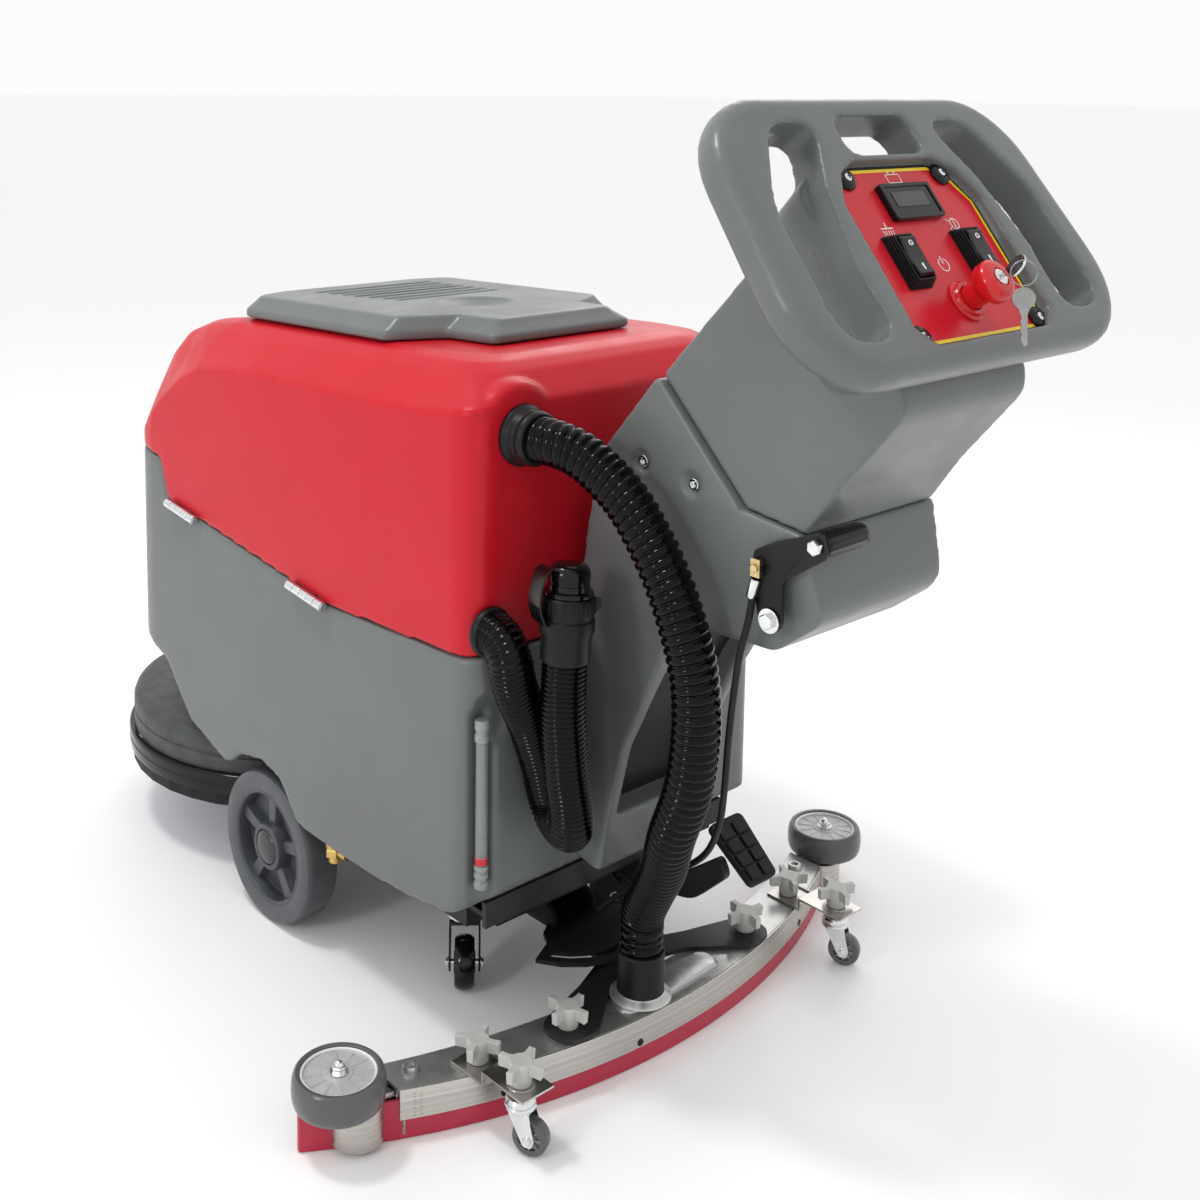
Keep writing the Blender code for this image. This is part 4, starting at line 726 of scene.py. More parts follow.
def make_panel():
    coat(RED_PANEL, "control_panel")
    piece("panel_yellow_border", outline_strip(panel_outline(0.0028), panel_outline(0.0060), 0.0018, 0.00245),
            YELLOW, "machine")
    piece("panel_dark_edge", outline_strip(panel_outline(-0.0006), panel_outline(0.0026), 0.0006, 0.00240),
            BLACK_PLASTIC, "machine")
    bars = mm(-10, -2, 10, -2, 0.8, -10, 7, 10, 7, 0.8, -10, -2, -10, 7, 0.8, 10, -2, 10, 7, 0.8, -6, -4, -3,
            -4, 1.2, 3, -4, 6, -4, 1.2, -52.5, 50, -52.5, 61, 0.9, -46, 52.5, -42, 50, 0.9, -46, 58.5, -42,
            61, 0.9, 44, 54, 61, 54, 1.2, 52.5, 48, 52.5, 54, 1.2, 0, 87, 0, 95, 1, size=5)
    bars += [(0.0455 + 0.0035 * k, 0.0560, 0.0455 + 0.0035 * k, 0.0610, 0.0008) for k in range(5)]
    marks = [bar_mark(*bar) for bar in bars]
    marks += ring_mark(-0.0525, 0.0555, 0.0060, 0.0009) + ring_mark(0.0, 0.0960, 0.0068, 0.0009, 30, 330)
    piece("panel_symbols", marks, WHITE, "machine")
    caps, screws, recess_shade_crosses = [], [], []
    for side in (1, -1):
        for u, v in ((0.073, 0.001), (0.0926, 0.163)):
            foot = on_panel(side * u, v, 0.0)
            caps.append(turned(mm(0, 2.3, 11.8, 2.3, 12.2, 4, 10.8, 6.2, 8.5, 7.4, 5.8, 7.8, 5, 6.2, 0, 6.2),
                    foot, PANEL_NORMAL, 40))
            tab = [(side * (u + a), v + b) for a, b in mm(1.7, -11.475, 11.475, -1.7, 7.65, 8.5, -6.8, 5.1)]
            caps.append(panel_prism(tab, 0.0023, 0.0050))
            screws.append(turned(mm(0, 6, 4.6, 6, 4.4, 7.8, 3, 8.8, 0, 9.1), foot, PANEL_NORMAL, 32))
            # Black crosses on the screw heads: painted shade in the screws' cross recesses.
            for a, b in ((0.0026, 0.0005), (0.0005, 0.0026)):
                cross = [(side * u + a * s, v + b * t) for s, t in ((-1, -1), (1, -1), (1, 1), (-1, 1))]
                recess_shade_crosses.append(panel_prism(cross, 0.0080, 0.00925))
    piece("panel_corner_caps", caps, BLACK_GLOSS, "machine", bevel=0.0008)
    piece("panel_cross_screws", screws, CHROME, "machine")
    piece("panel_screw_recess_shade", recess_shade_crosses, BLACK_PLASTIC, "machine")


def make_meter():
    outer = rounded_box(-0.0378, 0.0112, 0.0378, 0.0488, 0.003, 3)
    inner = rounded_box(-0.034, 0.015, 0.034, 0.045, 0.002, 3)
    base = panel_prism(rounded_box(-0.038, 0.011, 0.038, 0.049, 0.003, 3), 0.0025, 0.0078)
    bezel = [base, outline_strip(outer, inner, 0.0070, 0.0090)]
    piece("meter_bezel", bezel, BLACK_GLOSS, "machine", ("display_meter",), bevel=0.0005)
    window = rounded_box(-0.024, 0.0205, 0.026, 0.0360, 0.001, 2)
    piece("meter_window", panel_prism(window, 0.0079, 0.0083), SCREEN, "machine")
    tick = mm(-0.9, -1.6, 0.9, -1.6, 0.9, 5.6, -0.9, 5.6)
    spots = [[(-0.019 + 0.0038 * k + a, 0.0250 + b) for a, b in tick] for k in range(10)]
    ticks = [panel_prism(spot, 0.0083, 0.00838) for spot in spots]
    piece("meter_segments", ticks, METER_SEGMENT, "machine")


def make_rockers():
    """Rocker switches: a fixed ribbed boot beside a glossy rocker with its two marks."""
    for name, side in LEFT_AND_RIGHT:
        u0, v0 = side * 0.0525, 0.090
        profile = mm(-21, 8.5, 0, 3.4, 21, 8.5, 20.3, 15, 18.5, 16.9, 12, 15.8, 0, 14.3, -12, 15.8, -18.5,
                16.9, -20.3, 15)
        ends = [[on_panel(u0 + u, v0 + v, w) for v, w in profile] for u in (-0.0108, 0.0108)]
        piece(f"rocker_{name}_glossy", loft(ends), BLACK_GLOSS, f"rocker_{name}", (f"rocker_switch_{name}",),
                bevel=0.0012, segments=3)
        bar = [(u0 + a, v0 + b) for a, b in mm(-0.8, 8.5, 0.8, 8.5, 0.8, 15, -0.8, 15)]
        circle = turned(mm(1.8, 15, 2.7, 15, 2.7, 16.6, 1.8, 16.6))
        spot = Matrix.Translation(on_panel(u0, v0 - 0.0125, 0)) @ PANEL_TURN.to_4x4()
        marks = [panel_prism(bar, 0.0150, 0.0164), placed(circle, spot)]
        piece(f"rocker_{name}_marks", marks, WHITE, f"rocker_{name}")
        ribs = [boot_rib(u0, v0, k) for k in range(5)]
        piece(f"rocker_{name}_boot", ribs, BLACK_RUBBER, "machine", bevel=0.0004)


def boot_rib(u0, v0, k):
    """One rib of a rocker's boot: a rectangular frame round the rocker's opening."""
    grow = 0.0052 - 0.0009 * k
    wide, tall = 0.0118 + grow, 0.0220 + grow
    outer = rounded_box(u0 - wide, v0 - tall, u0 + wide, v0 + tall, 0.002, 3)
    inner = rounded_box(u0 - 0.0114, v0 - 0.0216, u0 + 0.0114, v0 + 0.0216, 0.0012, 3)
    low = 0.0023 + 0.0024 * k
    return outline_strip(outer, inner, low, low + 0.0017)


def make_estop():
    foot = on_panel(0, 0.135, 0)
    button = turned(mm(0, 7.8, 11.8, 7.8, 12, 9, 12, 22.5, 16.5, 26.2, 19, 29, 19.9, 32, 20, 38.5, 19.2, 41.8,
            17.2, 43.8, 14, 44.7, 9.5, 45, 9, 44, 7.5, 44, 0, 44), foot, PANEL_NORMAL, 64)
    piece("estop_mushroom", button, RED_GLOSS, "estop", ("estop_button",))
    barrel = turned(mm(0, 44, 7.2, 44, 7.4, 45.2, 6.4, 46, 4.8, 46, 4.6, 45.5, 0, 45.5), foot, PANEL_NORMAL,
            40)
    piece("estop_key_barrel", barrel, CHROME, "estop")
    collar = turned(mm(13, 2.2, 20.5, 2.2, 20.5, 4.5, 17.8, 6.2, 17.2, 8, 16.6, 9.2, 13, 9.2), foot,
            PANEL_NORMAL, 56)
    piece("estop_collar", collar, RED_GLOSS, "machine")


def ring_band(centre, normal, radius, wire, sides=48, around=10):
    """Round wire ring about a centre."""
    normal = normal.normalized()
    side = normal.orthogonal().normalized()
    other = normal.cross(side).normalized()
    bm = bmesh.new()
    rows = []
    for i in range(sides):
        a = 2 * pi * i / sides
        out = side * cos(a) + other * sin(a)
        rows.append([bm.verts.new(centre + out * radius + (out * cos(b) + normal * sin(b)) * wire) for b in
                (2 * pi * k / around for k in range(around))])
    for i in range(sides):
        low, high = rows[i], rows[(i + 1) % sides]
        for k in range(around):
            j = (k + 1) % around
            bm.faces.new((low[k], low[j], high[j], high[k]))
    return close_up(bm)


def key_blank(foot, across, up, thickness, blade, bow_radius=0.0118):
    """Flat key: a round bow on a short neck, or on a toothed blade where one is asked for."""
    side = across.cross(up).normalized()
    bow = [(bow_radius * sin(radians(a)), bow_radius * (1.3 + cos(radians(a)))) for a in range(-150, 151, 20)]
    foot_end = [(0.0034, 0.000), (-0.0034, 0.000)]
    if blade:
        teeth = [(0.0030 if k % 2 else 0.0020, -0.004 - 0.0035 * k) for k in range(7)]
        foot_end = [(0.0032, -0.001)] + teeth + [(0.0, -0.0290), (-0.0028, -0.0265), (-0.0030, -0.001)]
    outline = bow + foot_end
    return loft([[foot + across * a + up * b + side * s for a, b in outline] for s in (-thickness / 2,
            thickness / 2)])


def make_keys():
    foot = on_panel(0, 0.135, 0.0464)
    across = (Vector((1, 0, 0)) + PANEL_DOWN).normalized()
    key = key_blank(foot, across, PANEL_NORMAL, 0.0021, False)
    piece("key_in_lock", key, CHROME, "ignition_key", ("key",), bevel=0.0005)
    hang = foot + PANEL_NORMAL * 0.0245 + across * 0.002
    drop = (Vector((0.10, 0.12, -1.0))).normalized()
    ring = ring_band(hang + drop * 0.0095, Vector((0.75, 0.62, 0.05)), 0.0110, 0.0006)
    piece("key_ring", ring, KEY_STEEL, "ignition_key")
    second = hang + drop * 0.0440
    flat = Vector((0.62, -0.75, 0)).normalized()
    flat = (flat - drop * flat.dot(drop)).normalized()
    piece("second_key", key_blank(second, flat, -drop, 0.0021, True, 0.0098), KEY_STEEL, "ignition_key",
            bevel=0.0004)


# ---------------------------------------------------------------- lever and pedal
def make_lever():
    coat(BLACK_STEEL, "lift_lever")
    x, y, z = LEVER_PIVOT
    parts = hex_nut((x + 0.0066, y, z), (1, 0, 0), 0.014, 0.0064, 0.0118)
    parts += hex_nut((x + 0.0062, *LEVER_GRIP[1:]), (1, 0, 0), 0.013, 0.0060)
    piece("lever_bolts", parts, CHROME, "lever", bevel=0.0003)
    clevis = [block(x + 0.0062, x + 0.0122, 0.6805, 0.6915, 0.603, 0.6205)]
    clevis += hex_nut((x + 0.0120, 0.686, 0.612), (1, 0, 0), 0.0080, 0.0030)
    piece("lever_clevis", clevis, YELLOW_ZINC, "lever", bevel=0.0012)
    length, shank, flutes, groove = 0.061, 0.009, 48, 0.0009
    profile = mm(0, 0, 8.5, 0, 10.8, 1.6, 11.5, 5, 11.5, 55, 10.6, 59, 8, 61, 0, 61)
    body = turned(profile, LEVER_GRIP, (-1, 0, 0), 48)
    for vert in body.verts:
        out = Vector((vert.co.y - LEVER_GRIP[1], vert.co.z - LEVER_GRIP[2]))
        share = (LEVER_GRIP[0] - vert.co.x) / length
        if out.length > shank and 0.05 < share < 0.95:
            around = round(flutes * out.angle_signed(Vector((1, 0)), 0) / (2 * pi))
            if around % 4 < 2:
                vert.co -= Vector((0, *out)).normalized() * groove
    piece("lever_grip_fluted", body, BLACK_GLOSS, "lever", ("lever_grip",), angle=50)
    ferrule = turned(mm(0, 0, 4.8, 0, 5.2, 2, 5.2, 18, 4.2, 20, 0, 20), Vector((0.1165, 0.6850, 0.6010)),
            Vector((0, -0.1, -0.36)), 24)
    piece("cable_ferrule", ferrule, CHROME, "machine")


def make_pedal():
    coat(BLACK_STEEL, "pedal_arm")
    middle = Vector((-0.066, 0.5270, 0.2060))
    normal = Vector((0.0, 0.62, 0.785)).normalized()
    up = Vector((0.0, -0.785, 0.62)).normalized()

    def sheet_of(corners, low, high, radius, steps=4):
        outline = fillet([(a, b, radius) for a, b in corners], steps)
        return loft([[middle + Vector((a, 0, 0)) + up * b + normal * w for a, b in outline] for w in (low,
                high)])

    base = sheet_of(((0.0215, -0.0385), (0.0265, 0.0385), (-0.0265, 0.0385), (-0.0215, -0.0385)), 0.0003,
            0.0085, 0.007)
    parts = [base]
    for k in range(4):
        low = -0.0335 + 0.0165 * k
        for side in (1, -1):
            near, far = 0.0022, 0.0180 + 0.0011 * k
            parts.append(sheet_of(((side * near, low), (side * far, low),
                    (side * (far + 0.0011), low + 0.0142), (side * near, low + 0.0142)), 0.0080, 0.0118,
                    0.0016, 2))
    piece("pedal_pad_blocks", parts, BLACK_RUBBER, "pedal", ("pedal_pad",), bevel=0.0008)


# ---------------------------------------------------------------- wheels
def make_drive_wheels():
    """Grey wheels with a smooth tyre, a rolled rim edge, five spokes and a domed hub cap."""
    for name, side in LEFT_AND_RIGHT:
        centre = Vector((side * WHEEL_X, 0, WHEEL_RADIUS))
        tyre = turned(mm(72.5, -21.5, 74.5, -22.5, 90.5, -22.5, 94, -21.3, 96, -18, 96.4, -13.5, 96.4, 13.5,
                96, 18, 94, 21.3, 90.5, 22.5, 74.5, 22.5, 72.5, 21.5), centre, (side, 0, 0), 96)
        piece(f"drive_wheel_{name}_tyre", tyre, TYRE_GREY, f"drive_wheel_{name}", (f"wheel_{name}",))
        core = [turned(mm(10.1, -21.5, 28, -21.5, 30, -19.5, 31, -4, 60, -4, 68, -18.5, 70, -22, 73, -22, 73,
                22, 70, 22.3, 67.2, 20.5, 65.5, 14.5, 64, 3, 33, 3, 30, 16.5, 28.5, 21.5, 22.5, 22.5, 21.5,
                19.5, 10.1, 19.5), centre, (side, 0, 0), 72)]
        for k in range(5):
            spoke = mm(26, -8.5, 66.5, -12, 66.5, 12, 26, 8.5)
            for low, high in ((0.0025, WHEEL_HALF - 0.0090), (-WHEEL_HALF + 0.0070, -0.0035)):
                bar = loft([[(h, a, b * (1.0 if h == low else 0.72)) for a, b in spoke] for h in (low, high)])
                turn = Matrix.Rotation(radians(72 * k + 16), 4, "X") @ Matrix.Diagonal((side, 1, 1, 1))
                core.append(close_up(placed(bar, Matrix.Translation(centre) @ turn)))
        piece(f"drive_wheel_{name}_spokes", core, WHEEL_CORE, f"drive_wheel_{name}", bevel=0.0012)
        cap = turned(mm(0, 19.3, 21, 19.3, 21, 21.5, 19, 23.7, 13, 25.3, 0, 25.9), centre, (side, 0, 0), 56)
        piece(f"drive_wheel_{name}_cap", cap, BLACK_CAP, f"drive_wheel_{name}")


def make_casters():
    """Rear casters: black folded forks with a plated race, glossy wheels, and axle nuts."""
    z = CASTER[2]
    radius, trail = 0.0310, 0.030
    for name, side in LEFT_AND_RIGHT:
        place = swivel(side * CASTER[0], CASTER[1], CASTER_TURN[name])
        cheek = fillet(mm(-15, 70, 2, 17, 70, 6, 42, 41, 8, 36.5, 21, 6, 21.5, 21, 6, size=3), 5)
        fork = [placed(prism(cheek, x0, x1, "x"), place) for x0, x1 in ((-0.0186, -0.0162), (0.0162, 0.0186))]
        crown = fillet(mm(-18.6, -16.5, 6, 18.6, -16.5, 6, 18.6, 20, 4, -18.6, 20, 4, size=3), 4)
        fork.append(placed(prism(crown, z - 0.0046, z - 0.0006), place))
        piece(f"caster_{name}_fork", fork, BLACK_STEEL, f"caster_{name}", (f"caster_fork_{name}",),
                bevel=0.0008)
        race = turned(mm(0, 73.7, 20.5, 73.7, 22.8, 75.5, 23.5, 78.5, 23.2, 80.7, 21.2, 81.5, 21.2, 82.7, 23,
                83.5, 22.8, 86, 19, 89.5, 0, 90), (0, 0, 0), (0, 0, 1), 56)
        piece(f"caster_{name}_race", placed(race, place), CHROME, f"caster_{name}")
        axle = [cylinder(0.0036, (-0.0225, trail, radius), (0.0225, trail, radius), 20)]
        for way in (1, -1):
            axle += hex_nut((way * 0.0186, trail, radius), (way, 0, 0), 0.0092, 0.0036, 0.0062)
        piece(f"caster_{name}_axle", [placed(a, place) for a in axle], CHROME, f"caster_{name}", bevel=0.0003)
        profile = mm(4.8, -12.6, 12.5, -12.6, 13.5, -11, 21.5, -10, 22.8, -11.6)
        for k in range(9):
            a = radians(-66 + 16.5 * k)
            profile.append((0.0228 + (radius - 0.0228) * cos(a), 0.0116 * sin(a) / sin(radians(66))))
        profile += [(0.0228, 0.0116), (0.0215, 0.0100), (0.0135, 0.0110), (0.0125, 0.0126), (0.0048, 0.0126)]
        wheel = turned(profile, (0, trail, radius), (1, 0, 0), 64)
        piece(f"caster_{name}_tread", placed(wheel, place), BLACK_GLOSS, f"caster_{name}_roller",
                (f"caster_wheel_{name}",))


# ---------------------------------------------------------------- deck, hinges, sight tube and valve
def make_deck():
    """Deck hood: mottled drum top with ring grooves, a rolled black band and its splash skirt."""
    hub = (0, DECK_Y, 0)
    drum = turned(mm(30, 180, 30, 185, 70, 185, 71.5, 183.6, 75.5, 183.6, 77, 185, 150, 185, 151.5, 183.2,
            156, 183.2, 157.5, 185, 212, 184.8, 223, 183.2, 229.2, 179, 231.8, 172.5, 232, 160, 230.2, 158.5,
            230.2, 156, 232, 154.5, 232, 134.8, 227.5, 134.8, 227.5, 171, 218, 179), hub, sides=128)
    piece("deck_drum", drum, DECK_GREY, "deck", ("deck_cover",))
    band = turned(mm(232.2, 134.5, 237.6, 134.5, 239.2, 132.5, 239.5, 129, 239.5, 122.5, 238.5, 121.5, 238.5,
            119.5, 239.5, 118.5, 239.5, 110, 238.5, 106, 236, 104.2, 235.2, 104.2, 235.2, 130, 232.2, 130),
            hub, sides=128)
    piece("deck_band", band, BLACK_GLOSS, "deck")
    coat(BLACK_RUBBER, "deck_skirt")
    ribs = []
    for k in range(10):
        a = 2 * pi * (k + 0.5) / 10
        rib = block(0.080, 0.148, -0.0022, 0.0022, 0.1846, 0.1888)
        ribs.append(placed(rib, Matrix.Translation(hub) @ Matrix.Rotation(a, 4, "Z")))
    piece("deck_ribs", ribs, DECK_GREY, "deck", bevel=0.0012)


def make_hinges():
    slope = (0.4525 - 0.5122) / (0.151 + 0.345)
    line = Vector((0, 1, slope)).normalized()
    for name, y in (("front", -0.180), ("rear", 0.113)):
        middle = Vector((0.235, y, split_height(y) + 0.0005))
        parts = []
        for k in range(5):
            start = middle + line * (-0.036 + 0.0146 * k)
            parts.append(turned(mm(0, 0, 5.4, 0, 6.1, 0.6, 6.1, 13, 5.4, 13.6, 0, 13.6), start, line, 32))
        parts.append(cylinder(0.0040, middle - line * 0.0362, middle + line * 0.0372, 20))
        piece(f"hinge_{name}_knuckles", parts, CHROME, "machine", (f"hinge_{name}",), bevel=0.0004)


def make_sight_tube():
    x, y = SIGHT_TUBE
    tube = turned(mm(4.6, 236, 6.6, 236, 6.6, 372, 4.6, 372), (x, y, 0), sides=32)
    piece("sight_tube_clear", tube, CLEAR, "machine", ("sight_tube",))
    fittings = [turned(mm(0, 372, 7.5, 372, 8, 373.5, 8, 380, 6.8, 381, 6.8, 384.5, 8, 385.5, 8, 395, 7, 396,
            0, 396), (x, y, 0), sides=32)]
    fittings += hex_nut((x, y, 0.3840), (0, 0, 1), 0.0138, 0.0110)
    fittings += [turned(mm(0, 210, 7, 210, 7.8, 211.5, 7.8, 218, 6.2, 219, 6.2, 221.5, 7.8, 222.5, 7.8, 227.5,
            6.2, 228.5, 6.2, 230.5, 7.8, 231.5, 7.8, 236, 0, 236), (x, y, 0), sides=32)]
    piece("sight_tube_fittings", fittings, CLEAR_GREY, "machine", bevel=0.0004)
    core = [turned(mm(0, 236.5, 4, 236.5, 4, 371.5, 0, 371.5), (x, y, 0), sides=24)]
    piece("sight_tube_inner", core, CLEAR_GREY, "machine")
    floater = turned(mm(0, 236.8, 6.4, 236.8, 6.8, 238, 6.8, 244, 5.5, 246.5, 0, 247), (x, y, 0), sides=32)
    piece("sight_tube_float", floater, RED_GLOSS, "machine")


def make_valve():
    parts = [turned(mm(0, 118, 7.2, 118, 8, 119, 8, 125.5, 10, 127, 0, 128), (*VALVE, 0), sides=32)]
    parts += hex_nut((*VALVE, 0.1270), (0, 0, 1), 0.0220, 0.0110)
    parts.append(turned(mm(0, 137, 11.5, 137, 12, 138.5, 12, 153, 0, 153), (*VALVE, 0), sides=32))
    parts.append(cylinder(0.0050, (*VALVE, 0.1330), (VALVE[0], 0.1430, 0.1330), 24))
    piece("drain_valve_machined", parts, BRASS, "machine", ("solution_valve",), bevel=0.0005)


def make_elbow():
    """Collars where the two hoses leave the recovery tank."""
    profile = mm(0, 406.5, 32.5, 406.5, 33, 408, 33, 410.5, 31.8, 412.5, 29.8, 415, 29, 418, 29, 422.5, 28.3,
            423.5, 28.3, 425, 29, 426, 29, 430, 28, 433.5, 26.2, 435.4, 0, 435.7)
    elbow = placed(turned(profile, sides=64), along_y(SUCTION_ROOT))
    piece("suction_elbow_collar", elbow, BLACK_PLASTIC, "upper_tank", ("suction_elbow",))
    profile = mm(23.7, 406.4, 26.2, 406.4, 26.6, 408.5, 26.2, 412, 25, 414, 23.7, 414.5)
    collar = placed(turned(profile, sides=56), along_y(DRAIN_ROOT))
    piece("drain_root_collar", collar, BLACK_PLASTIC, "upper_tank")


# ---------------------------------------------------------------- squeegee
def rear_y(x, inset=0.0):
    return SQUEEGEE_CENTRE_Y + sqrt((SQUEEGEE_RADIUS - inset) ** 2 - x * x)


def body_width(x):
    return 0.062 - 0.018 * (x / SQUEEGEE_HALF) ** 2


def arc_band(half, front, rear, low, high, steps=96):
    xs = [half * (2 * k / steps - 1) for k in range(steps + 1)]
    outline = [(x, rear_y(x, front(x))) for x in xs] + [(x, rear_y(x, rear(x))) for x in reversed(xs)]
    return prism(outline, low, high)


def make_squeegee_body():
    """Silver casting with a folded front, its raised channel round the hose port, and bumper feet."""
    top = arc_band(SQUEEGEE_HALF, body_width, lambda x: 0.0018, 0.0490, SQUEEGEE_TOP)
    front = arc_band(SQUEEGEE_HALF, body_width, lambda x: body_width(x) - 0.0035, 0.0182, 0.0520)
    back = arc_band(SQUEEGEE_HALF, lambda x: 0.0100, lambda x: 0.0060, 0.0185, 0.0520)
    parts = [top, front, back]
    for side in (1, -1):
        x = side * SQUEEGEE_HALF
        near, far = sorted((x, x - side * 0.0035))
        wall = [(near, rear_y(near, body_width(near))), (far, rear_y(far, body_width(far))),
                (far, rear_y(far, 0.0064)), (near, rear_y(near, 0.0064))]
        parts.append(prism(wall, 0.0185, 0.0520))
    channel = fillet(mm(-78, 462, 12, -60, 466, 30, 70, 464, 12, 78, 492, 12, 50, 499, 20, -70, 495, 12,
            size=3), 5)
    middle = 0.4805
    parts.append(loft([[(a * across, middle + (b - middle) * deep, SQUEEGEE_TOP + rise) for a,
            b in channel] for across, deep, rise in ((1.05, 1.10, -0.002), (1.05, 1.10, 0.0004),
            (1, 1, 0.0042), (0.97, 0.93, 0.0050))]))
    for side in (1, -1):
        x, y = side * BUMPER[0], BUMPER[1]
        foot = fillet(((x - side * 0.068, y + 0.030, 0.004), (x + side * 0.022, y + 0.004, 0.018),
                (x + side * 0.020, y - 0.026, 0.018), (x - side * 0.068, y - 0.008, 0.004)), 6)
        parts.append(prism(foot, 0.0440, 0.0492))
        parts.append(turned(mm(0, 54, 8.5, 54, 8.8, 59, 7.8, 61, 4.5, 61, 4.5, 58.5, 0, 58.5),
                (side * 0.310, rear_y(0.310, 0.030), 0)))
        parts.append(turned(mm(5.3, 49, 9, 49, 8.5, 49.9, 5.3, 49.9), (x, y, 0)))
    piece("squeegee_casting", parts, SILVER, "squeegee", ("squeegee_body",), bevel=0.0014, segments=3)


def make_squeegee_trim():
    strip = arc_band(SQUEEGEE_HALF, lambda x: 0.0017, lambda x: 0.0, 0.0220, SQUEEGEE_TOP - 0.0006)
    parts = [strip]
    for side in (1, -1):
        for k in range(7):
            for x in (side * 0.318, side * 0.324):
                out = Vector((x, rear_y(x) - SQUEEGEE_CENTRE_Y, 0)).normalized()
                parts.append(turned(mm(0, 0, 1.4, 0, 0.8, 1, 0, 1.2),
                        (x, rear_y(x, 0.0004), 0.0255 + 0.0040 * k), out, 10))
        arc = []
        for k in range(15):
            a = radians(14.5 * k - 100) + 0.10
            arc.append((side * (BUMPER[0] - 0.018 + 0.0275 * sin(a)), BUMPER[1] + 0.0035 + 0.0300 * cos(a)))
        start = (side * (SQUEEGEE_HALF - 0.004), rear_y(SQUEEGEE_HALF - 0.004, 0.0002))
        path = [start] + arc
        inner = []
        for i, (a, b) in enumerate(path):
            c0, c1 = path[max(i - 1, 0)], path[min(i + 1, len(path) - 1)]
            tangent = Vector((c1[0] - c0[0], c1[1] - c0[1])).normalized()
            normal = Vector((tangent.y, -tangent.x)) * side
            inner.append((a + normal.x * 0.0022, b + normal.y * 0.0022))
        parts.append(prism(path + inner[::-1], 0.0060, 0.0475))
    piece("squeegee_rear_strip", parts, STAINLESS, "squeegee", bevel=0.0005)
    plugs = []
    for x in (-0.250, 0.070, 0.235):
        out = Vector((x, rear_y(x) - SQUEEGEE_CENTRE_Y, 0)).normalized()
        place = Vector((x, rear_y(x, 0.0001), 0.0280))
        plugs.append(turned(mm(0, -1, 4, -1, 4, 0.6, 2.8, 0.6, 0, 0.2), place, out, 20))
    piece("strip_slots", plugs, BLACK_PLASTIC, "squeegee")
    coat(BLADE_RED, "blade_front")
    blade = arc_band(0.424, lambda x: 0.0055, lambda x: 0.0021, 0.0006, 0.0430, 120)
    piece("blade_rear_cut", blade, BLADE_RED, "squeegee", ("blade_rear",), bevel=0.0005)


def make_cuff():
    cuff = turned(mm(0, 60.7, 25.5, 60.7, 26.2, 63, 26, 65, 26, 109, 25.6, 111.2, 24.8, 112, 23.6, 111.4, 0,
            111.2), HOSE_PORT, sides=64)
    piece("squeegee_cuff", cuff, BLACK_PLASTIC, "squeegee", ("hose_cuff",))
    collar = turned(mm(26.2, 56, 34.5, 60, 32, 62.5, 28, 65, 26.4, 66.5), HOSE_PORT, sides=64)
    piece("squeegee_port_collar", collar, SILVER, "squeegee")


def make_bumpers():
    for name, side in LEFT_AND_RIGHT:
        centre = (side * BUMPER[0], BUMPER[1], 0.0)
        low = 0.0500
        profile = [(0.0385, low + 0.0015), (0.0405, low)]
        for k in range(9):
            a = radians(-80 + 20 * k)
            profile.append((0.0405 + 0.0070 * cos(a) ** 0.6,
                    low + 0.0165 + 0.0165 * sin(a) / sin(radians(80))))
        profile += [(0.0405, low + 0.033), (0.0388, low + 0.0322), (0.0385, low + 0.0300)]
        piece(f"bumper_{name}_tyre", turned(profile, centre, sides=96), RUBBER_GREY, f"bumper_{name}",
                (f"bumper_wheel_{name}",))
        hub = [turned(mm(5.3, 50.5, 38.4, 50.5, 38.4, 79.2, 36.2, 79, 35.5, 78, 15, 78.6, 13.5, 80, 5.3, 80),
                centre, sides=80)]
        for k in range(12):
            blade = block(0.014, 0.0345, -0.0007, 0.0007, low + 0.0276, low + 0.0290)
            hub.append(placed(blade, Matrix.Translation(centre) @ Matrix.Rotation(2 * pi * k / 12, 4, "Z")))
        piece(f"bumper_{name}_hub", hub, HUB_LIGHT, f"bumper_{name}", bevel=0.0004)
        ring = turned(mm(36.2, 78.5, 38.4, 78.5, 38.4, 80.8, 37.2, 81.2, 36.2, 80.6), centre, sides=96)
        piece(f"bumper_{name}_ring", ring, WHITE, f"bumper_{name}")
        nut = turned(mm(0, 80.4, 9.4, 80.4, 9.4, 81.8, 0, 81.8), centre)
        parts = [nut] + hex_nut((centre[0], centre[1], low + 0.0316), (0, 0, 1), 0.0125, 0.0052, 0.0, 0.0050)
        piece(f"bumper_{name}_acorn_nut", parts, CHROME, "squeegee", bevel=0.0003)


def star_outline(turn, reach=0.0240, root=0.0100, half=0.0042):
    """Four-armed knob outline whose arms widen towards their square tips."""
    outline = []
    for k in range(4):
        a = turn + k * pi / 2
        neck, tip = (half * 0.85, reach * 0.62), (half * 1.05, reach)
        for across, out in ((-neck[0], neck[1]), (-tip[0], tip[1]), tip, neck):
            outline.append((out * cos(a) - across * sin(a), out * sin(a) + across * cos(a)))
        b = a + pi / 4
        outline.append((root * 0.98 * cos(b - 0.28), root * 0.98 * sin(b - 0.28)))
        outline.append((root * 0.98 * cos(b + 0.28), root * 0.98 * sin(b + 0.28)))
    return outline


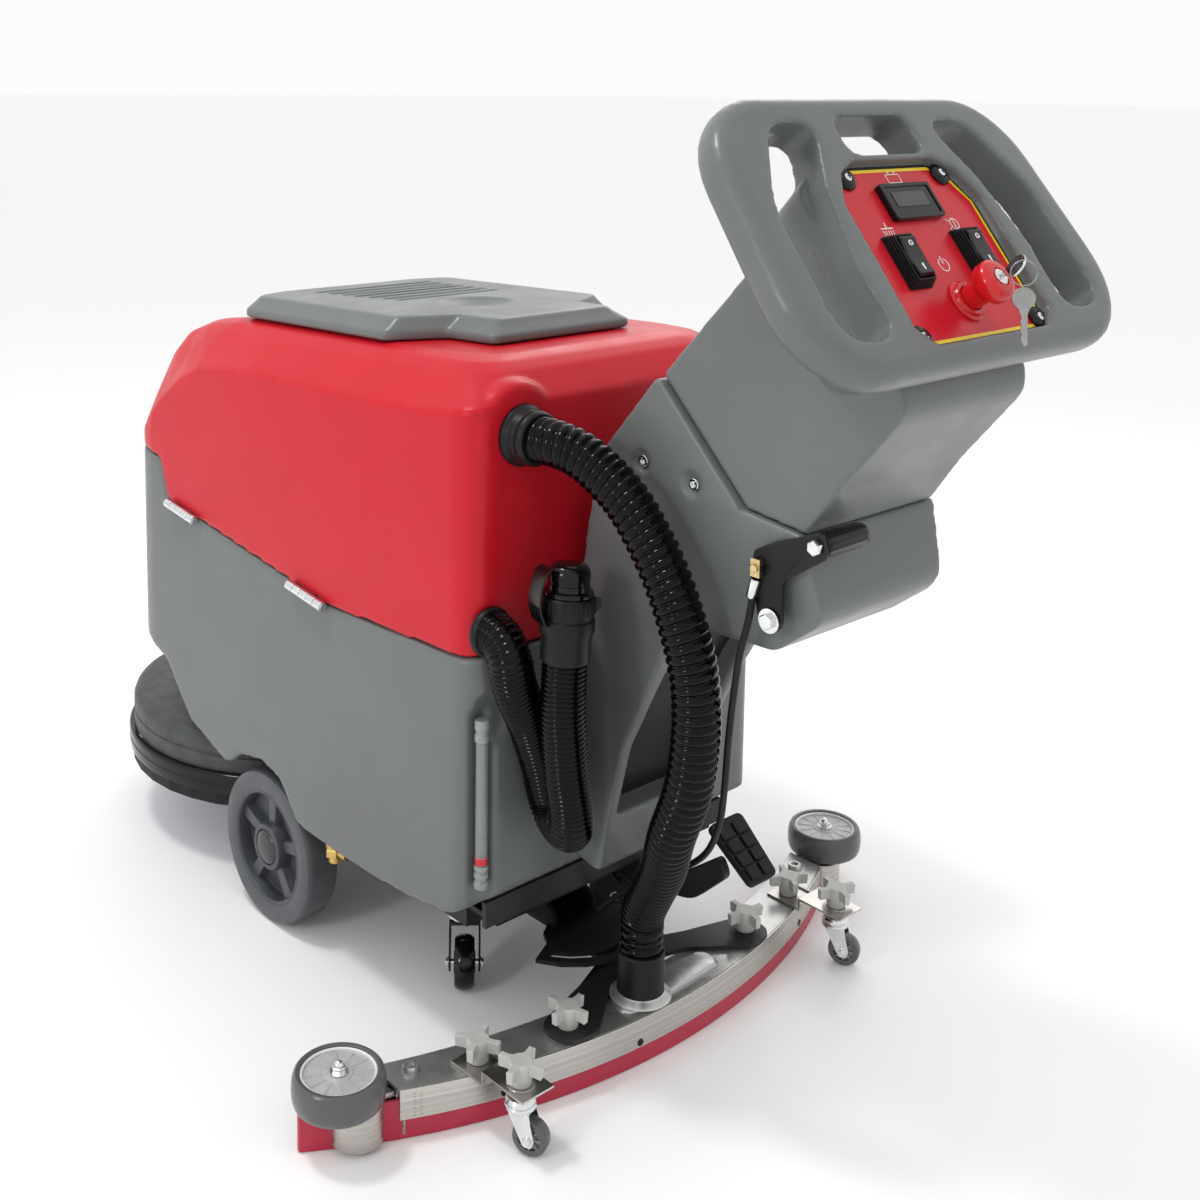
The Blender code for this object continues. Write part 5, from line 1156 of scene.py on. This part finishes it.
def make_knob(name, x, y, low, turn, body, node):
    top = low + 0.0245
    arms = [[(x + a, y + b, z) for a, b in star_outline(turn, reach, root, half)] for reach, root, half,
            z in ((0.0236, 0.0098, 0.0030, low + 0.0118), (0.0240, 0.0104, 0.0034, low + 0.0200),
            (0.0240, 0.0106, 0.0036, top - 0.0008), (0.0235, 0.0102, 0.0032, top - 0.0002))]
    hub = turned(mm(0, 0, 10.5, 0, 11.2, 1, 12, 15, 12.2, 22.5, 11.2, 24.5, 6.2, 24.5, 5.6, 23.7, 5.2, 18.5,
            0, 18.5), (x, y, low), sides=40)
    piece(name, [loft(arms), hub], KNOB_GREY, body, (node,), bevel=0.0009)
    stud = turned(mm(0, 18.3, 3.6, 18.3, 3.8, 21.5, 3, 22.9, 0, 23.1), (x, y, low), sides=24)
    piece(name + "_stud", stud, CHROME, body)


def make_small_casters():
    plate_low, plate_high = 0.0556, 0.0690
    for name, side in LEFT_AND_RIGHT:
        x, y = side * SMALL_CASTER[0], SMALL_CASTER[1]
        knob_x = side * 0.251
        near, far = sorted((knob_x - side * 0.020, knob_x + side * 0.022))
        profile = mm(434, 55.6, 484.5, 55.6, 484.5, 69, 545, 69, 545, 71.5, 482, 71.5, 482, 58.1, 434, 58.1)
        lip = mm(436, 56.6, 480.5, 56.6, 480.5, 60.6, 436, 60.6)
        parts = [prism(profile, near, far, "x"), prism(lip, near, near + 0.0022, "x")]
        parts.append(turned(mm(6, 71, 15, 71, 14.5, 71.9, 6, 71.9), (x, y, 0)))
        piece(f"squeegee_bracket_{name}_plate", parts, STAINLESS, "squeegee", (f"squeegee_bracket_{name}",),
                bevel=0.0008)
        place = swivel(x, y, SMALL_TURN)
        cups = [turned(mm(0, 46.2, 14, 46.2, 15.8, 48, 16, 50.5, 15, 51.8, 13.8, 52.2, 13.8, 53.2, 15.2, 53.8,
                15.4, 56, 13.5, 59, 10, 60, 8.2, 62, 8.2, 66, 7, 68.5, 0, 68.5), sides=56)]
        cheek = fillet(mm(-10.5, 48, 3, 12.5, 48, 4, 19, 20.5, 4, 16.5, 12.5, 3.5, 7.5, 12.5, 3.5, size=3), 4)
        cups += [prism(cheek, x0, x1, "x") for x0, x1 in ((-0.0112, -0.0093), (0.0093, 0.0112))]
        cups.append(prism(rounded_box(-0.0112, -0.0105, 0.0112, 0.0125, 0.004, 3), 0.0445, 0.0475))
        cups.append(cylinder(0.0028, (-0.0145, 0.012, 0.019), (0.0145, 0.012, 0.019), 16))
        for way in (1, -1):
            cups += hex_nut((way * 0.0112, 0.012, 0.019), (way, 0, 0), 0.0078, 0.0030, 0.0050)
        piece(f"squeegee_caster_{name}_fork", [placed(c, place) for c in cups], CHROME,
                f"squeegee_caster_{name}", (f"squeegee_fork_{name}",), bevel=0.0004)
        wheel = turned(mm(12, -7.4, 16.5, -7.4, 18.2, -6.2, 18.9, -4, 19, 0, 18.9, 4, 18.2, 6.2, 16.5, 7.4,
                12, 7.4), SMALL_AXLE, (1, 0, 0), 64)
        piece(f"squeegee_roller_{name}_tread", placed(wheel, place), RUBBER_GREY, f"squeegee_roller_{name}",
                (f"squeegee_wheel_{name}",))
        hub = [turned(mm(3.6, -7, 6, -7, 6.6, -3, 12.1, -3, 12.1, 3, 6.6, 3, 6, 7, 3.6, 7), SMALL_AXLE,
                (1, 0, 0), 40)]
        for k in range(8):
            rib_bar = block(-0.0066, 0.0066, 0.0055, 0.0122, -0.0007, 0.0007)
            turn = Matrix.Translation(SMALL_AXLE) @ Matrix.Rotation(2 * pi * k / 8, 4, "X")
            hub.append(placed(rib_bar, turn))
        piece(f"squeegee_roller_{name}_hub", [placed(h, place) for h in hub], HUB_GREY,
                f"squeegee_roller_{name}", bevel=0.0003)
        knob_y = rear_y(knob_x) - 0.019
        make_knob(f"bracket_knob_{name}_star", knob_x, knob_y, plate_low + 0.0028, radians(30 * side),
                f"bracket_knob_{name}", f"knob_bracket_{name}")
        make_knob(f"height_knob_{name}_star", x, y, plate_high + 0.0028, radians(20 * side),
                f"height_knob_{name}", f"knob_height_{name}")
        make_knob(f"mount_knob_{name}_star", side * 0.144, 0.4720, 0.0610, radians(10 * side),
                f"mount_knob_{name}", f"knob_mount_{name}")


make_tanks()
make_lid()
make_column()
moulded("handle_head_moulded", "handle_head", GREY, "machine", 0.0026, 10)
make_panel()
make_meter()
make_rockers()
make_estop()
make_keys()
make_lever()
make_pedal()
make_drive_wheels()
make_casters()
make_deck()
make_hinges()
make_sight_tube()
make_valve()
make_elbow()
make_squeegee_body()
make_squeegee_trim()
make_cuff()
make_bumpers()
make_small_casters()

coat(BLACK_STEEL, "chassis_frame", "brush_motor", "deck_arm", "lift_plate", "squeegee_bracket")
coat(BLACK_PLASTIC, "battery_1", "battery_2", "vacuum_motor")
coat(BRISTLE, "brush")
